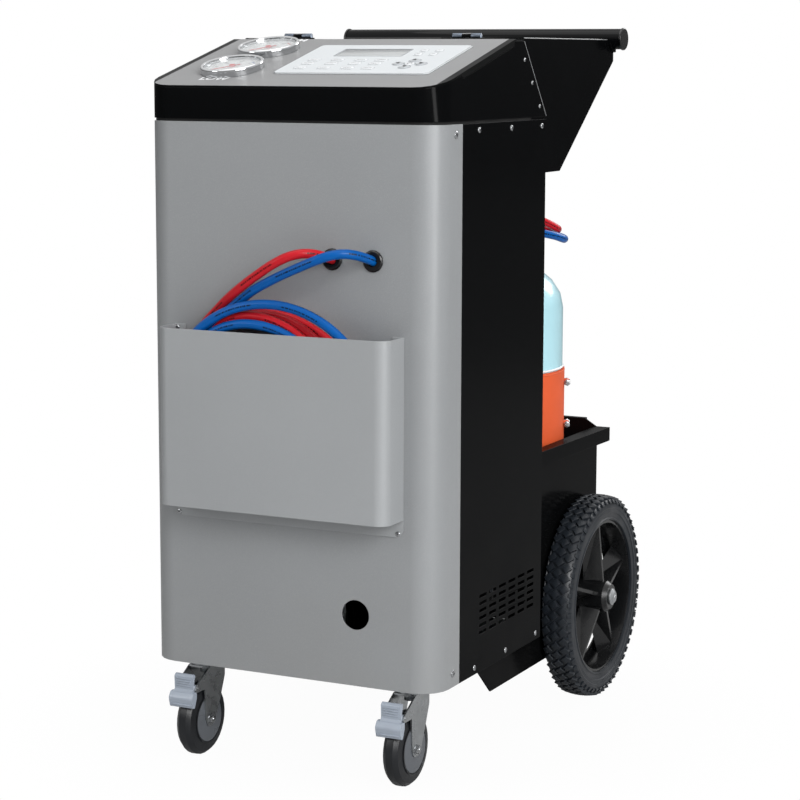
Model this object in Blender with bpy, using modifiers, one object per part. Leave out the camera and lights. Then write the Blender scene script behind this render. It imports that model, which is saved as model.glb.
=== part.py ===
"""Refrigerant recovery machine: a wheeled sheet metal cabinet with a hinged control lid, two pressure
gauges, a hose pouch, a push handle on two brackets, two braked casters, two large rear wheels and a
tray behind it that carries the refrigerant tank on a weighing platform.

Metres, +Z up, floor at Z = 0. The sizes below have Y = 0 at the cabinet's front face, and the finished
pieces are shifted so that the origin lies under the middle of the machine's footprint."""

import math

import bmesh
import bpy
from mathutils import Matrix, Vector

# General fits
GAP = 0.0003            # between pieces that touch
SHEET = 0.0016          # cabinet sheet metal
PLATE = 0.0025          # brackets and chassis plate

# Cabinet
WIDTH = 0.435
DEPTH = 0.348
CABINET_BOTTOM = 0.136
CABINET_TOP = 0.872
CORNER_R = 0.039        # vertical front corners
WRAP_DEPTH = 0.0722     # how far the grey front panel wraps round the sides
TOP_FLANGE = 0.012      # folded edge along the top of the front panel
PAN_FLANGE = 0.020      # upturned edge of the base pan
BACK_FLANGE = 0.015     # side flanges of the back panel
BACK_SLOT = 0.005       # slot beside the back panel that the handle brackets pass through

# Vents low on both side panels
VENT_ROWS = 6
VENT_COLUMNS = 6
VENT_SLOT = (0.023, 0.0042)
VENT_PITCH = (0.0325, 0.0100)
VENT_CENTRE = (0.2285, 0.2150)

# Openings in the front panel
ROUND_HOLE_R = 0.020
ROUND_HOLE_AT = (0.100, 0.232)
GROMMET_Z = 0.6985
GROMMET_X = {"red": 0.067, "blue": 0.126}
GROMMET_HOLE_R = 0.0115
GROMMET_FLANGE_R = 0.0144
GROMMET_LIP = 0.0040    # how far the grommet stands out

# Console and control lid
CONSOLE_BOTTOM = 0.8755
LID_FRONT_Z = 0.9190    # top of the lid at the front face
LID_SLOPE = math.radians(14.4)
LID_SLOPE_END = 0.240   # where the slope meets the level ledge behind it
LEDGE_END = 0.268
LID_SHEET = 0.0020
LID_FLANGE_DEPTH = 0.0078
LID_FLANGE_FROM = 0.065
LID_FLANGE_TO = 0.238
HINGE_X = 0.131
HINGE_LEAF = (0.056, 0.020)
HINGE_LEAF_T = 0.0020
HINGE_BARREL_R = 0.0038
HINGE_BARREL = 0.042
HINGE_PIN_R = 0.0016

# Controls, placed by X and by the distance up the slope
GAUGE_X = -0.124
GAUGE_UP = {"low": 0.079, "high": 0.181}
BEZEL_R = 0.043
BEZEL_H = 0.0100
BEZEL_RIM = 0.0045
DIAL_H = 0.0045
GAUGE_CASE_R = 0.0355
GAUGE_CASE_DEPTH = 0.034
GAUGE_STEM = (0.0060, 0.014)
NEEDLE_HUB_R = 0.0042
NEEDLE_LENGTH = 0.0320
NEEDLE_TAIL = 0.0110
NEEDLE_T = 0.0010
KEYPAD_X = (-0.054, 0.174)
KEYPAD_UP = (0.060, 0.208)
KEYPAD_T = 0.0015
KEYPAD_CORNER_R = 0.008
SCREEN_X = (-0.005, 0.094)
SCREEN_UP = (0.148, 0.184)
SCREEN_DEPTH = 0.012
BOARD_MARGIN = 0.018
BOARD_T = 0.0016
ARROW_PAD = (0.126, 0.108)
ARROW_STEP = 0.0165
KEY_R = 0.0069
KEY_H = 0.0020
KEY_TRAVEL = 0.0006

# Handle
TUBE_Y = 0.602
TUBE_Z = 0.983
TUBE_R = 0.0150
TUBE_WALL = 0.0015
TUBE_X = (-0.2202, 0.2310)
CAP_R = 0.0163
CAP_T = 0.0040
CAP_PLUG = 0.016
SADDLE_R = 0.0195
SADDLE_T = 0.0040
BRACKET_TOP = 0.9820
BRACKET_BOTTOM = 0.798
BRACKET_BOTTOM_END = 0.404
BRACKET_REAR = 0.607
BRACKET_REAR_LOW = 0.951
BRACKET_INSIDE = 0.300
BRACKET_FLANGE = 0.016

# Hose pouch on the front
POUCH_HALF = 0.1705
POUCH_DEPTH = 0.0530
POUCH_BOTTOM = 0.3650
POUCH_TOP = 0.6030
POUCH_CORNER_R = 0.018
POUCH_TAB = 0.023       # mounting strip below the pouch
POUCH_SIDE_FLANGE = 0.016

# Service hoses
HOSE_R = 0.0065
COIL_X = -0.008
COIL_HALF_WIDTH = 0.149
COIL_HALF_HEIGHT = 0.1375
COIL_BAND = 0.052       # four hoses wide
COIL_SIDES = 36
COIL_CHAMFER = 0.0039
BLUE_COIL_DEPTH = 0.0132
RED_COIL_DEPTH = 0.0260
COUPLER_R = 0.0108
COUPLER_LENGTH = 0.060
COUPLER_Y = {"red": -0.0160, "blue": -0.0388}

# Rear chassis and tank tray
CHASSIS_HALF = 0.186
CHASSIS_FRONT_TOP = 0.180
CHASSIS_FRONT_LOW = 0.246
CHASSIS_LOW = 0.077
CHASSIS_REAR = 0.642
CHASSIS_REAR_CHAMFER = 0.045
TRAY_FLOOR = 0.285
TRAY_TOP = 0.3965
TRAY_RIM = (0.0125, 0.0205)     # width of the outward rim at its front and rear end
TRAY_LIP = 0.0210
REAR_WALL_TOP = 0.408
REAR_WALL_HALF = 0.166
REAR_HEM = 0.008
AXLE_R = 0.0079
AXLE_CAP_R = 0.0125
AXLE_CAP_T = 0.0060
MOUNT_FLANGE = 0.020
BELLY_FRONT = 0.345
BELLY_INSET = 0.001

# Rear wheels
WHEEL_Y = 0.5594
TYRE_R = 0.1524
TYRE_WIDTH = 0.0445
TYRE_INSIDE = 0.191
RIM_R = 0.115
RIM_WALL = 0.004
HUB_R = 0.0235
HUB_OUT = 0.2440
HUB_IN = 0.1885
SPOKES = 5
SPOKE_T = 0.005
SPOKE_WIDTH = 0.052

# Casters
CASTER_X = 0.158
CASTER_Y = 0.048        # swivel axis
CASTER_TRAIL = 0.015    # wheel axle ahead of the swivel axis
CASTER_R = 0.0508
CASTER_WIDTH = 0.028
CASTER_PLATE = (0.062, 0.062, 0.0030)
CASTER_RACE_R = 0.022
CASTER_RACE_H = 0.0075
FORK_T = 0.0025
FORK_HALF = 0.0168
FORK_CROWN_T = 0.0030
PEDAL_PIVOT = (-0.001, 0.1020)
PEDAL_LOBE_HALF = 0.0145
PEDAL_LIP_HALF = 0.0185

# Refrigerant tank
TANK_X = 0.055
TANK_Y = 0.495
TANK_R = 0.122
PLATFORM_HALF = 0.1245
PLATFORM_H = 0.020
PLATFORM_T = 0.003
FOOT_R = 0.088
FOOT_H = 0.022
TANK_SHOULDER = 0.590
TANK_DOME = 0.078
TANK_LOW_DOME = 0.040
TANK_WALL = 0.003
NECK_R = 0.011
GUARD_R = 0.078
GUARD_TOP = 0.690
BAND_LOW = 0.365
BAND_TOP = 0.4995
BAND_T = 0.0030
BAND_SEAM = math.radians(22)
VALVE_TOP = 0.722
OUTLET_Z = 0.706
OUTLET_R = 0.0075
HANDWHEEL_R = 0.0165
HANDWHEEL_H = 0.010
HANDWHEEL_STEP = 0.0185
REAR_HOSE_R = 0.0058
REAR_HOSE_SLACK = 0.0010

# Worked out from the sizes above
HALF = WIDTH / 2
PIVOT_Y = LEDGE_END + HINGE_BARREL_R + 2 * GAP
CREST_Z = LID_FRONT_Z + LID_SLOPE_END * math.tan(LID_SLOPE)
PIVOT_Z = CREST_Z + HINGE_LEAF_T + HINGE_BARREL_R - 0.0015
TRAY_WALL_IN = CHASSIS_HALF - PLATE
REAR_MOST = WHEEL_Y + TYRE_R
MIDDLE_Y = (REAR_MOST - POUCH_DEPTH) / 2
COIL_BOTTOM = POUCH_BOTTOM + SHEET + GAP
COIL_Z = COIL_BOTTOM + COIL_HALF_HEIGHT

COLOURS = {
    "silver_paint": ((0.36, 0.37, 0.38), 0.38, 0.35),
    "black_paint": ((0.010, 0.010, 0.011), 0.22, 0.0),
    "panel_grey": ((0.38, 0.38, 0.38), 0.35, 0.4),
    "keypad_film": ((0.62, 0.66, 0.68), 0.35, 0.0),
    "key_grey": ((0.33, 0.34, 0.36), 0.4, 0.0),
    "screen": ((0.30, 0.32, 0.33), 0.2, 0.0),
    "chrome": ((0.75, 0.75, 0.76), 0.12, 1.0),
    "zinc": ((0.50, 0.52, 0.55), 0.32, 1.0),
    "needle_red": ((0.6, 0.02, 0.02), 0.4, 0.0),
    "rubber": ((0.020, 0.022, 0.025), 0.6, 0.0),
    "caster_rubber": ((0.050, 0.052, 0.056), 0.55, 0.0),
    "black_plastic": ((0.013, 0.013, 0.014), 0.35, 0.0),
    "pedal_grey": ((0.24, 0.26, 0.29), 0.4, 0.0),
    "red_hose": ((0.62, 0.03, 0.03), 0.35, 0.0),
    "blue_hose": ((0.01, 0.10, 0.36), 0.35, 0.0),
    "tank_paint": ((0.60, 0.80, 0.83), 0.3, 0.0),
    "heater_orange": ((0.75, 0.13, 0.035), 0.5, 0.0),
    "brass": ((0.60, 0.42, 0.16), 0.3, 1.0),
    "motor_grey": ((0.12, 0.13, 0.14), 0.5, 0.2),
}


def make_material(name):
    colour, roughness, metallic = COLOURS[name]
    material = bpy.data.materials.new(name)
    material.use_nodes = True
    shader = material.node_tree.nodes["Principled BSDF"]
    shader.inputs["Base Color"].default_value = (*colour, 1.0)
    shader.inputs["Roughness"].default_value = roughness
    shader.inputs["Metallic"].default_value = metallic
    return material


# Modelling tools

def link(name, mesh):
    piece = bpy.data.objects.new(name, mesh)
    bpy.context.scene.collection.objects.link(piece)
    return piece


def from_bmesh(name, bm):
    mesh = bpy.data.meshes.new(name)
    bmesh.ops.recalc_face_normals(bm, faces=bm.faces)
    bm.to_mesh(mesh)
    bm.free()
    return link(name, mesh)


def bake(piece):
    """Turns a curve, or a mesh with modifiers, into a plain mesh in the machine's own frame."""
    bpy.context.view_layer.update()
    shape = piece.evaluated_get(bpy.context.evaluated_depsgraph_get())
    mesh = bpy.data.meshes.new_from_object(shape)
    mesh.transform(piece.matrix_world)
    name = piece.name
    bm = bmesh.new()
    bm.from_mesh(mesh)
    bmesh.ops.remove_doubles(bm, verts=bm.verts, dist=0.000005)
    bmesh.ops.recalc_face_normals(bm, faces=bm.faces)
    bm.to_mesh(mesh)
    bm.free()
    bpy.data.objects.remove(piece)
    return link(name, mesh)


def boolean(piece, operation, others):
    for other in others:
        step = piece.modifiers.new(operation.lower(), "BOOLEAN")
        step.operation = operation
        step.solver = "EXACT"
        step.object = other
        piece = bake(piece)
        bpy.data.objects.remove(other)
    return piece


def cut(piece, *cutters):
    return boolean(piece, "DIFFERENCE", cutters)


def join(piece, *others):
    return boolean(piece, "UNION", others)


def common(piece, *others):
    return boolean(piece, "INTERSECT", others)


def box(name, low, high):
    bm = bmesh.new()
    bmesh.ops.create_cube(bm, size=1.0)
    size = [h - l for l, h in zip(low, high)]
    middle = [(h + l) / 2 for l, h in zip(low, high)]
    bmesh.ops.scale(bm, vec=size, verts=bm.verts)
    bmesh.ops.translate(bm, vec=middle, verts=bm.verts)
    return from_bmesh(name, bm)


def turn_to(axis):
    """Rotation that takes local Z to the axis."""
    return Vector((0, 0, 1)).rotation_difference(Vector(axis)).to_matrix().to_4x4()


def rod(name, start, axis, radius, length, sides=32, end_radius=None):
    bm = bmesh.new()
    bmesh.ops.create_cone(bm, cap_ends=True, segments=sides, radius1=radius,
                          radius2=radius if end_radius is None else end_radius, depth=length)
    bmesh.ops.translate(bm, vec=(0, 0, length / 2), verts=bm.verts)
    bmesh.ops.transform(bm, matrix=Matrix.Translation(start) @ turn_to(axis), verts=bm.verts)
    return from_bmesh(name, bm)


def turned(name, profile, origin, axis=(0, 0, 1), steps=40):
    """Solid of revolution: (radius, height) points that run down the outer side."""
    mesh = bpy.data.meshes.new(name)
    points = [(r, 0.0, h) for r, h in profile]
    closed = profile[0][0] > 0
    edges = [(i, i + 1) for i in range(len(points) - 1)]
    if closed:
        edges.append((len(points) - 1, 0))
    mesh.from_pydata(points, edges, [])
    piece = link(name, mesh)
    step = piece.modifiers.new("turned", "SCREW")
    step.steps = steps
    step.render_steps = steps
    step.use_merge_vertices = True
    step.merge_threshold = 0.000005
    piece = bake(piece)
    piece.data.transform(Matrix.Translation(origin) @ turn_to(axis))
    return piece


def fillet(points, steps=5):
    """Outline with arcs: a point with a third value gets that corner radius."""
    outline = []
    count = len(points)
    for i, point in enumerate(points):
        corner = Vector(point[:2])
        if len(point) < 3 or point[2] <= 0:
            outline.append(corner)
            continue
        radius = point[2]
        before = (Vector(points[i - 1][:2]) - corner).normalized()
        after = (Vector(points[(i + 1) % count][:2]) - corner).normalized()
        half_angle = before.angle(after) / 2
        reach = radius / math.tan(half_angle)
        centre = corner + (before + after).normalized() * radius / math.sin(half_angle)
        start = corner + before * reach - centre
        sweep = start.angle_signed(corner + after * reach - centre)
        for k in range(steps + 1):
            turn = Matrix.Rotation(-sweep * k / steps, 2)
            outline.append(centre + turn @ start)
    return outline


PLANES = {
    "XY": Matrix.Identity(4),
    "XZ": Matrix(((1, 0, 0, 0), (0, 0, -1, 0), (0, 1, 0, 0), (0, 0, 0, 1))),
    "YZ": Matrix(((0, 0, 1, 0), (1, 0, 0, 0), (0, 1, 0, 0), (0, 0, 0, 1))),
}
NORMALS = {"XY": Vector((0, 0, 1)), "XZ": Vector((0, 1, 0)), "YZ": Vector((1, 0, 0))}


def flat(name, outline, plane, low, high):
    """Flat outline in a plane, with its thickness from low to high along the plane's normal."""
    curve = bpy.data.curves.new(name, "CURVE")
    curve.dimensions = "2D"
    curve.fill_mode = "BOTH"
    curve.extrude = (high - low) / 2
    spline = curve.splines.new("POLY")
    spline.points.add(len(outline) - 1)
    for point, place in zip(spline.points, outline):
        point.co = (place[0], place[1], 0, 1)
    spline.use_cyclic_u = True
    piece = bpy.data.objects.new(name, curve)
    bpy.context.scene.collection.objects.link(piece)
    piece.matrix_world = Matrix.Translation(NORMALS[plane] * (low + high) / 2) @ PLANES[plane]
    return bake(piece)


def smooth_path(points, spacing):
    """Evenly spaced points on a smooth curve through the given points."""
    dense = []
    last = len(points) - 1
    for i in range(last):
        p0, p1, p2, p3 = (Vector(points[min(max(k, 0), last)]) for k in (i - 1, i, i + 1, i + 2))
        for k in range(24):
            t = k / 24
            dense.append(0.5 * (2 * p1 + (p2 - p0) * t + (2 * p0 - 5 * p1 + 4 * p2 - p3) * t * t
                                + (3 * p1 - p0 - 3 * p2 + p3) * t ** 3))
    dense.append(Vector(points[-1]))
    length = sum((b - a).length for a, b in zip(dense, dense[1:]))
    count = max(2, round(length / spacing))
    even = [dense[0]]
    walked = 0.0
    for a, b in zip(dense, dense[1:]):
        stretch = (b - a).length
        while walked + stretch >= length * len(even) / count and len(even) < count:
            even.append(a.lerp(b, (length * len(even) / count - walked) / stretch))
        walked += stretch
    even.append(dense[-1])
    return even


def hose(name, points, radius, resolution=3):
    curve = bpy.data.curves.new(name, "CURVE")
    curve.dimensions = "3D"
    curve.bevel_depth = radius
    curve.bevel_resolution = resolution
    curve.use_fill_caps = True
    spline = curve.splines.new("POLY")
    spline.points.add(len(points) - 1)
    for point, place in zip(spline.points, points):
        point.co = (*place, 1)
    piece = bpy.data.objects.new(name, curve)
    bpy.context.scene.collection.objects.link(piece)
    return bake(piece)


def mirrored(piece, name, keep=True):
    """Opposite-hand copy across the machine's middle plane."""
    mesh = piece.data.copy()
    if not keep:
        bpy.data.objects.remove(piece)
    mesh.transform(Matrix.Scale(-1, 4, (1, 0, 0)))
    mesh.flip_normals()
    return link(name, mesh)


class Machine:
    """Collects the finished pieces, their materials and the points their origins sit on."""

    def __init__(self):
        self.collection = bpy.data.collections.new("refrigerant_recovery_machine")
        bpy.context.scene.collection.children.link(self.collection)
        self.shift = Vector((0, -MIDDLE_Y, 0))
        self.materials = {name: make_material(name) for name in COLOURS}

    def add(self, piece, material, origin=(0, 0, 0)):
        piece.data.transform(Matrix.Translation(-Vector(origin)))
        piece.location = Vector(origin) + self.shift
        piece.data.materials.clear()
        piece.data.materials.append(self.materials[material])
        piece.data.shade_smooth()
        piece.data.set_sharp_from_angle(angle=math.radians(35))
        bpy.context.scene.collection.objects.unlink(piece)
        self.collection.objects.link(piece)
        return piece


# Shared outlines

def plan_outline(inset=0.0, rear=DEPTH):
    """Cabinet outline seen from above, with its rounded front corners."""
    radius = CORNER_R - inset
    side = HALF - inset
    return fillet([(-side, inset, radius), (side, inset, radius), (side, rear), (-side, rear)])


def slope_frame():
    """Frame of the lid's slope: X across, Y up the slope, Z out of it."""
    return Matrix.Translation((0, 0, LID_FRONT_Z)) @ Matrix.Rotation(LID_SLOPE, 4, "X")


def on_slope(piece):
    piece.data.transform(slope_frame())
    return piece


def slope_point(x, up, out=0.0):
    return slope_frame() @ Vector((x, up, out))


def lid_band(top_drop, bottom_drop, front=0.0, rear=LEDGE_END):
    """Side view of a sheet that follows the lid's slope and ledge, between two depths below its top."""
    rise = math.tan(LID_SLOPE)
    tops = [(front, LID_FRONT_Z + front * rise), (LID_SLOPE_END, CREST_Z), (rear, CREST_Z)]
    upper = [(y, z - top_drop) for y, z in tops]
    lower = [(y, z - bottom_drop) for y, z in reversed(tops)]
    return upper + lower


# Cabinet

def front_panel():
    shell = flat("front_panel", plan_outline(rear=WRAP_DEPTH), "XY", CABINET_BOTTOM, CABINET_TOP)
    inside = flat("inside", plan_outline(SHEET, WRAP_DEPTH + 0.01), "XY",
                  CABINET_BOTTOM - 0.01, CABINET_TOP - SHEET)
    mouth = flat("mouth", plan_outline(TOP_FLANGE, WRAP_DEPTH + 0.01), "XY",
                 CABINET_TOP - 2 * SHEET, CABINET_TOP + 0.01)
    holes = [rod("hole", (x, -0.01, GROMMET_Z), (0, 1, 0), GROMMET_HOLE_R, 0.02)
             for x in GROMMET_X.values()]
    x, z = ROUND_HOLE_AT
    holes.append(rod("hole", (x, -0.01, z), (0, 1, 0), ROUND_HOLE_R, 0.02))
    return cut(shell, inside, mouth, *holes)


def vent_slots():
    """Cutters for the vents, through both side panels at once."""
    length, height = VENT_SLOT
    slots = []
    for row in range(VENT_ROWS):
        for column in range(VENT_COLUMNS):
            y = VENT_CENTRE[0] + (column - (VENT_COLUMNS - 1) / 2) * VENT_PITCH[0]
            z = VENT_CENTRE[1] + (row - (VENT_ROWS - 1) / 2) * VENT_PITCH[1]
            corners = [(y - length / 2, z - height / 2), (y + length / 2, z - height / 2),
                       (y + length / 2, z + height / 2), (y - length / 2, z + height / 2)]
            slots.append(flat("slot", corners, "YZ", HALF - 0.01, HALF + 0.01))
    return slots


def side_panel():
    front = WRAP_DEPTH + GAP
    outline = [(front, CABINET_BOTTOM), (DEPTH, CABINET_BOTTOM), (DEPTH, CABINET_TOP),
               (front, CABINET_TOP)]
    panel = flat("side_panel_right", outline, "YZ", HALF - SHEET, HALF)
    return cut(panel, *vent_slots())


def back_panel():
    side = HALF - BACK_SLOT
    back = DEPTH - SHEET
    panel = box("back_panel", (-side, DEPTH - BACK_FLANGE, CABINET_BOTTOM + PAN_FLANGE + GAP),
                (side, DEPTH, CABINET_TOP))
    inside = box("inside", (-side + SHEET, 0, 0), (side - SHEET, back, CABINET_TOP - SHEET))
    mouth = box("mouth", (-side + TOP_FLANGE, 0, 0), (side - TOP_FLANGE, back, 1))
    holes = [rod("hole", (route[0][0], DEPTH - 0.01, route[0][2]), (0, 1, 0),
                 REAR_HOSE_R + REAR_HOSE_SLACK, 0.02)
             for route in REAR_HOSE_ROUTES.values()]
    return cut(panel, inside, mouth, *holes)


def base_pan():
    inset = SHEET + GAP
    rear = DEPTH
    pan = flat("base_pan", plan_outline(inset, rear), "XY", CABINET_BOTTOM, CABINET_BOTTOM + PAN_FLANGE)
    inside = flat("inside", plan_outline(inset + SHEET, rear - SHEET), "XY",
                  CABINET_BOTTOM + SHEET, CABINET_BOTTOM + PAN_FLANGE + 0.01)
    return cut(pan, inside)


# Console and lid

def console_shell():
    """Open-topped housing under the lid, with a slanted back."""
    drop = LID_SHEET + GAP
    rise = math.tan(LID_SLOPE)
    side_view = [(-0.01, CONSOLE_BOTTOM), (DEPTH, CONSOLE_BOTTOM), (LEDGE_END, CREST_Z - drop),
                 (LID_SLOPE_END, CREST_Z - drop), (-0.01, LID_FRONT_Z - 0.01 * rise - drop)]
    shell = flat("console_shell", plan_outline(), "XY", CONSOLE_BOTTOM, CREST_Z)
    shell = common(shell, flat("side_view", side_view, "YZ", -HALF - 0.01, HALF + 0.01))
    slant = Vector((DEPTH - LEDGE_END, CONSOLE_BOTTOM - CREST_Z + drop)).normalized()
    back = SHEET / -slant.y
    hollow = flat("hollow", plan_outline(SHEET, DEPTH), "XY", CONSOLE_BOTTOM - 0.01, CREST_Z + 0.01)
    low, high = CONSOLE_BOTTOM - 0.02, CREST_Z + 0.02
    lean = slant.x / -slant.y
    back_line = DEPTH - back
    inner_view = [(-0.01, low), (back_line + (CONSOLE_BOTTOM - low) * lean, low),
                  (back_line - (high - CONSOLE_BOTTOM) * lean, high), (-0.01, high)]
    hollow = common(hollow, flat("inner_view", inner_view, "YZ", -HALF, HALF))
    notches = [flat("notch", lid_flange_outline(2 * GAP), "YZ", side * HALF - 0.01, side * HALF + 0.01)
               for side in (-1, 1)]
    return cut(shell, hollow, *notches)


def lid_flange_outline(margin=0.0):
    """Side flange of the lid: it drops into a notch in the console's side, with slanted ends."""
    rise = math.tan(LID_SLOPE)
    depth = LID_FLANGE_DEPTH + margin
    front = LID_FLANGE_FROM - margin
    rear = LID_FLANGE_TO + margin
    top = LID_SHEET / 2 if margin == 0 else 0

    def at(y, down):
        return (y, LID_FRONT_Z + y * rise - down)
    return [at(front + top, top), at(front + depth, depth), at(rear - depth / 2, depth),
            at(rear - top / 2, top)]


def hinge_knuckle(name, x, start, length, radius=HINGE_BARREL_R):
    return rod(name, (x + start, PIVOT_Y, PIVOT_Z), (1, 0, 0), radius, length, 16)


def moving_leaf(x):
    """Hinge leaf bolted on the lid's ledge, with the middle knuckle."""
    width, reach = HINGE_LEAF
    third = HINGE_BARREL / 3
    top = CREST_Z + HINGE_LEAF_T
    leaf = box("leaf", (x - width / 2, LEDGE_END - reach, CREST_Z - LID_SHEET / 2),
               (x + width / 2, LEDGE_END, top))
    arm = box("arm", (x - third / 2 + GAP, LEDGE_END - 0.002, CREST_Z - 0.0005),
              (x + third / 2 - GAP, PIVOT_Y, top))
    barrel = hinge_knuckle("barrel", x, -third / 2 + GAP, third - 2 * GAP)
    return [leaf, arm, barrel]


def control_lid():
    lid = flat("control_lid", plan_outline(rear=LEDGE_END), "XY", LID_FRONT_Z - 0.05, CREST_Z + 0.05)
    sheet = flat("sheet", lid_band(0, LID_SHEET, front=-0.01), "YZ", -HALF - 0.01, HALF + 0.01)
    lid = common(lid, sheet)
    flanges = [flat("flange", lid_flange_outline(), "YZ", *sorted((s * (HALF - SHEET), s * HALF)))
               for s in (-1, 1)]
    leaves = moving_leaf(-HINGE_X) + moving_leaf(HINGE_X)
    lid = join(lid, *flanges, *leaves)
    bores = [hinge_knuckle("bore", x, -HINGE_BARREL / 2, HINGE_BARREL, HINGE_PIN_R + GAP)
             for x in (-HINGE_X, HINGE_X)]
    holes = [on_slope(rod("hole", (GAUGE_X, up, -0.02), (0, 0, 1), GAUGE_CASE_R + GAP, 0.04))
             for up in GAUGE_UP.values()]
    window = on_slope(box("window", (SCREEN_X[0] - GAP, SCREEN_UP[0] - GAP, -0.02),
                          (SCREEN_X[1] + GAP, SCREEN_UP[1] + GAP, 0.02)))
    return cut(lid, *bores, *holes, window)


def lid_hinge(name, x):
    """Fixed half of a lid hinge: leaf on the console's slanted back, outer knuckles and pin."""
    third = HINGE_BARREL / 3
    drop = LID_SHEET + GAP
    start = Vector((LEDGE_END, CREST_Z - drop))
    end = Vector((DEPTH, CONSOLE_BOTTOM))
    along = (end - start).normalized()
    out = Vector((-along.y, along.x))
    near = start + along * 0.004 + out * GAP
    far = near + along * HINGE_LEAF[1]
    outline = [near, far, far + out * HINGE_LEAF_T, near + out * HINGE_LEAF_T]
    leaf = flat(name, outline, "YZ", x - HINGE_LEAF[0] / 2, x + HINGE_LEAF[0] / 2)
    foot = near + out * HINGE_LEAF_T
    arm_view = [near, near + along * 0.004, foot + along * 0.006,
                Vector((PIVOT_Y + HINGE_BARREL_R * 0.8, PIVOT_Z)), Vector((PIVOT_Y, PIVOT_Z))]
    arms = [flat("arm", arm_view, "YZ", x + low, x + high) for low, high in
            ((-HINGE_BARREL / 2, -third / 2), (third / 2, HINGE_BARREL / 2))]
    knuckles = [hinge_knuckle("knuckle", x, -HINGE_BARREL / 2, third),
                hinge_knuckle("knuckle", x, third / 2, third)]
    pin = hinge_knuckle("pin", x, -HINGE_BARREL / 2, HINGE_BARREL, HINGE_PIN_R)
    return join(leaf, *arms, *knuckles, pin)


# Gauges, keypad and keys on the slope

def gauge(name, up):
    dial_r = BEZEL_R - BEZEL_RIM
    stem_r, stem_l = GAUGE_STEM
    low = -GAUGE_CASE_DEPTH
    profile = [(0, DIAL_H), (dial_r, DIAL_H), (dial_r + 0.001, BEZEL_H - 0.001),
               (BEZEL_R - 0.002, BEZEL_H), (BEZEL_R, BEZEL_H - 0.0025), (BEZEL_R, GAP),
               (GAUGE_CASE_R, GAP), (GAUGE_CASE_R, low + 0.004), (GAUGE_CASE_R - 0.004, low),
               (stem_r, low), (stem_r, low - stem_l), (0, low - stem_l)]
    return on_slope(turned(name, profile, (GAUGE_X, up, 0), steps=32))


def needle(name, up):
    base = DIAL_H + GAP
    outline = [(-0.0016, -NEEDLE_TAIL), (0.0016, -NEEDLE_TAIL), (0.0011, 0.0), (0.0004, NEEDLE_LENGTH),
               (-0.0004, NEEDLE_LENGTH), (-0.0011, 0.0)]
    pointer = flat(name, outline, "XY", base + 0.0006, base + 0.0006 + NEEDLE_T)
    pointer.data.transform(Matrix.Rotation(math.radians(135), 4, "Z"))
    hub = rod("hub", (0, 0, base), (0, 0, 1), NEEDLE_HUB_R, 0.0026, 20)
    pointer = join(pointer, hub)
    pointer.data.transform(Matrix.Translation((GAUGE_X, up, 0)))
    return on_slope(pointer)


def key_places():
    x, up = ARROW_PAD
    return {"key_up": (x, up + ARROW_STEP), "key_down": (x, up - ARROW_STEP),
            "key_left": (x - ARROW_STEP, up), "key_right": (x + ARROW_STEP, up)}


def keypad_panel():
    (x0, x1), (v0, v1) = KEYPAD_X, KEYPAD_UP
    r = KEYPAD_CORNER_R
    outline = fillet([(x0, v0, r), (x1, v0, r), (x1, v1, r), (x0, v1, r)])
    panel = flat("keypad_panel", outline, "XY", GAP, GAP + KEYPAD_T)
    window = box("window", (SCREEN_X[0] - GAP, SCREEN_UP[0] - GAP, -0.01),
                 (SCREEN_X[1] + GAP, SCREEN_UP[1] + GAP, 0.01))
    wells = [rod("well", (x, up, -0.01), (0, 0, 1), KEY_R + GAP, 0.02, 20)
             for x, up in key_places().values()]
    return on_slope(cut(panel, window, *wells))


def key(name, x, up):
    bottom = GAP + KEY_TRAVEL
    return on_slope(rod(name, (x, up, bottom), (0, 0, 1), KEY_R, KEY_H, 20))


def display_module():
    """Screen in the keypad's window, with the control board behind it."""
    screen = box("display_module", (SCREEN_X[0], SCREEN_UP[0], -SCREEN_DEPTH),
                 (SCREEN_X[1], SCREEN_UP[1], GAP + KEYPAD_T * 0.7))
    board = box("board", (SCREEN_X[0] - BOARD_MARGIN, SCREEN_UP[0] - 3 * BOARD_MARGIN,
                          -SCREEN_DEPTH - BOARD_T),
                (SCREEN_X[1] + 2 * BOARD_MARGIN, SCREEN_UP[1] + BOARD_MARGIN / 2, -SCREEN_DEPTH + 0.0004))
    return on_slope(join(screen, board))


# Handle

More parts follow.
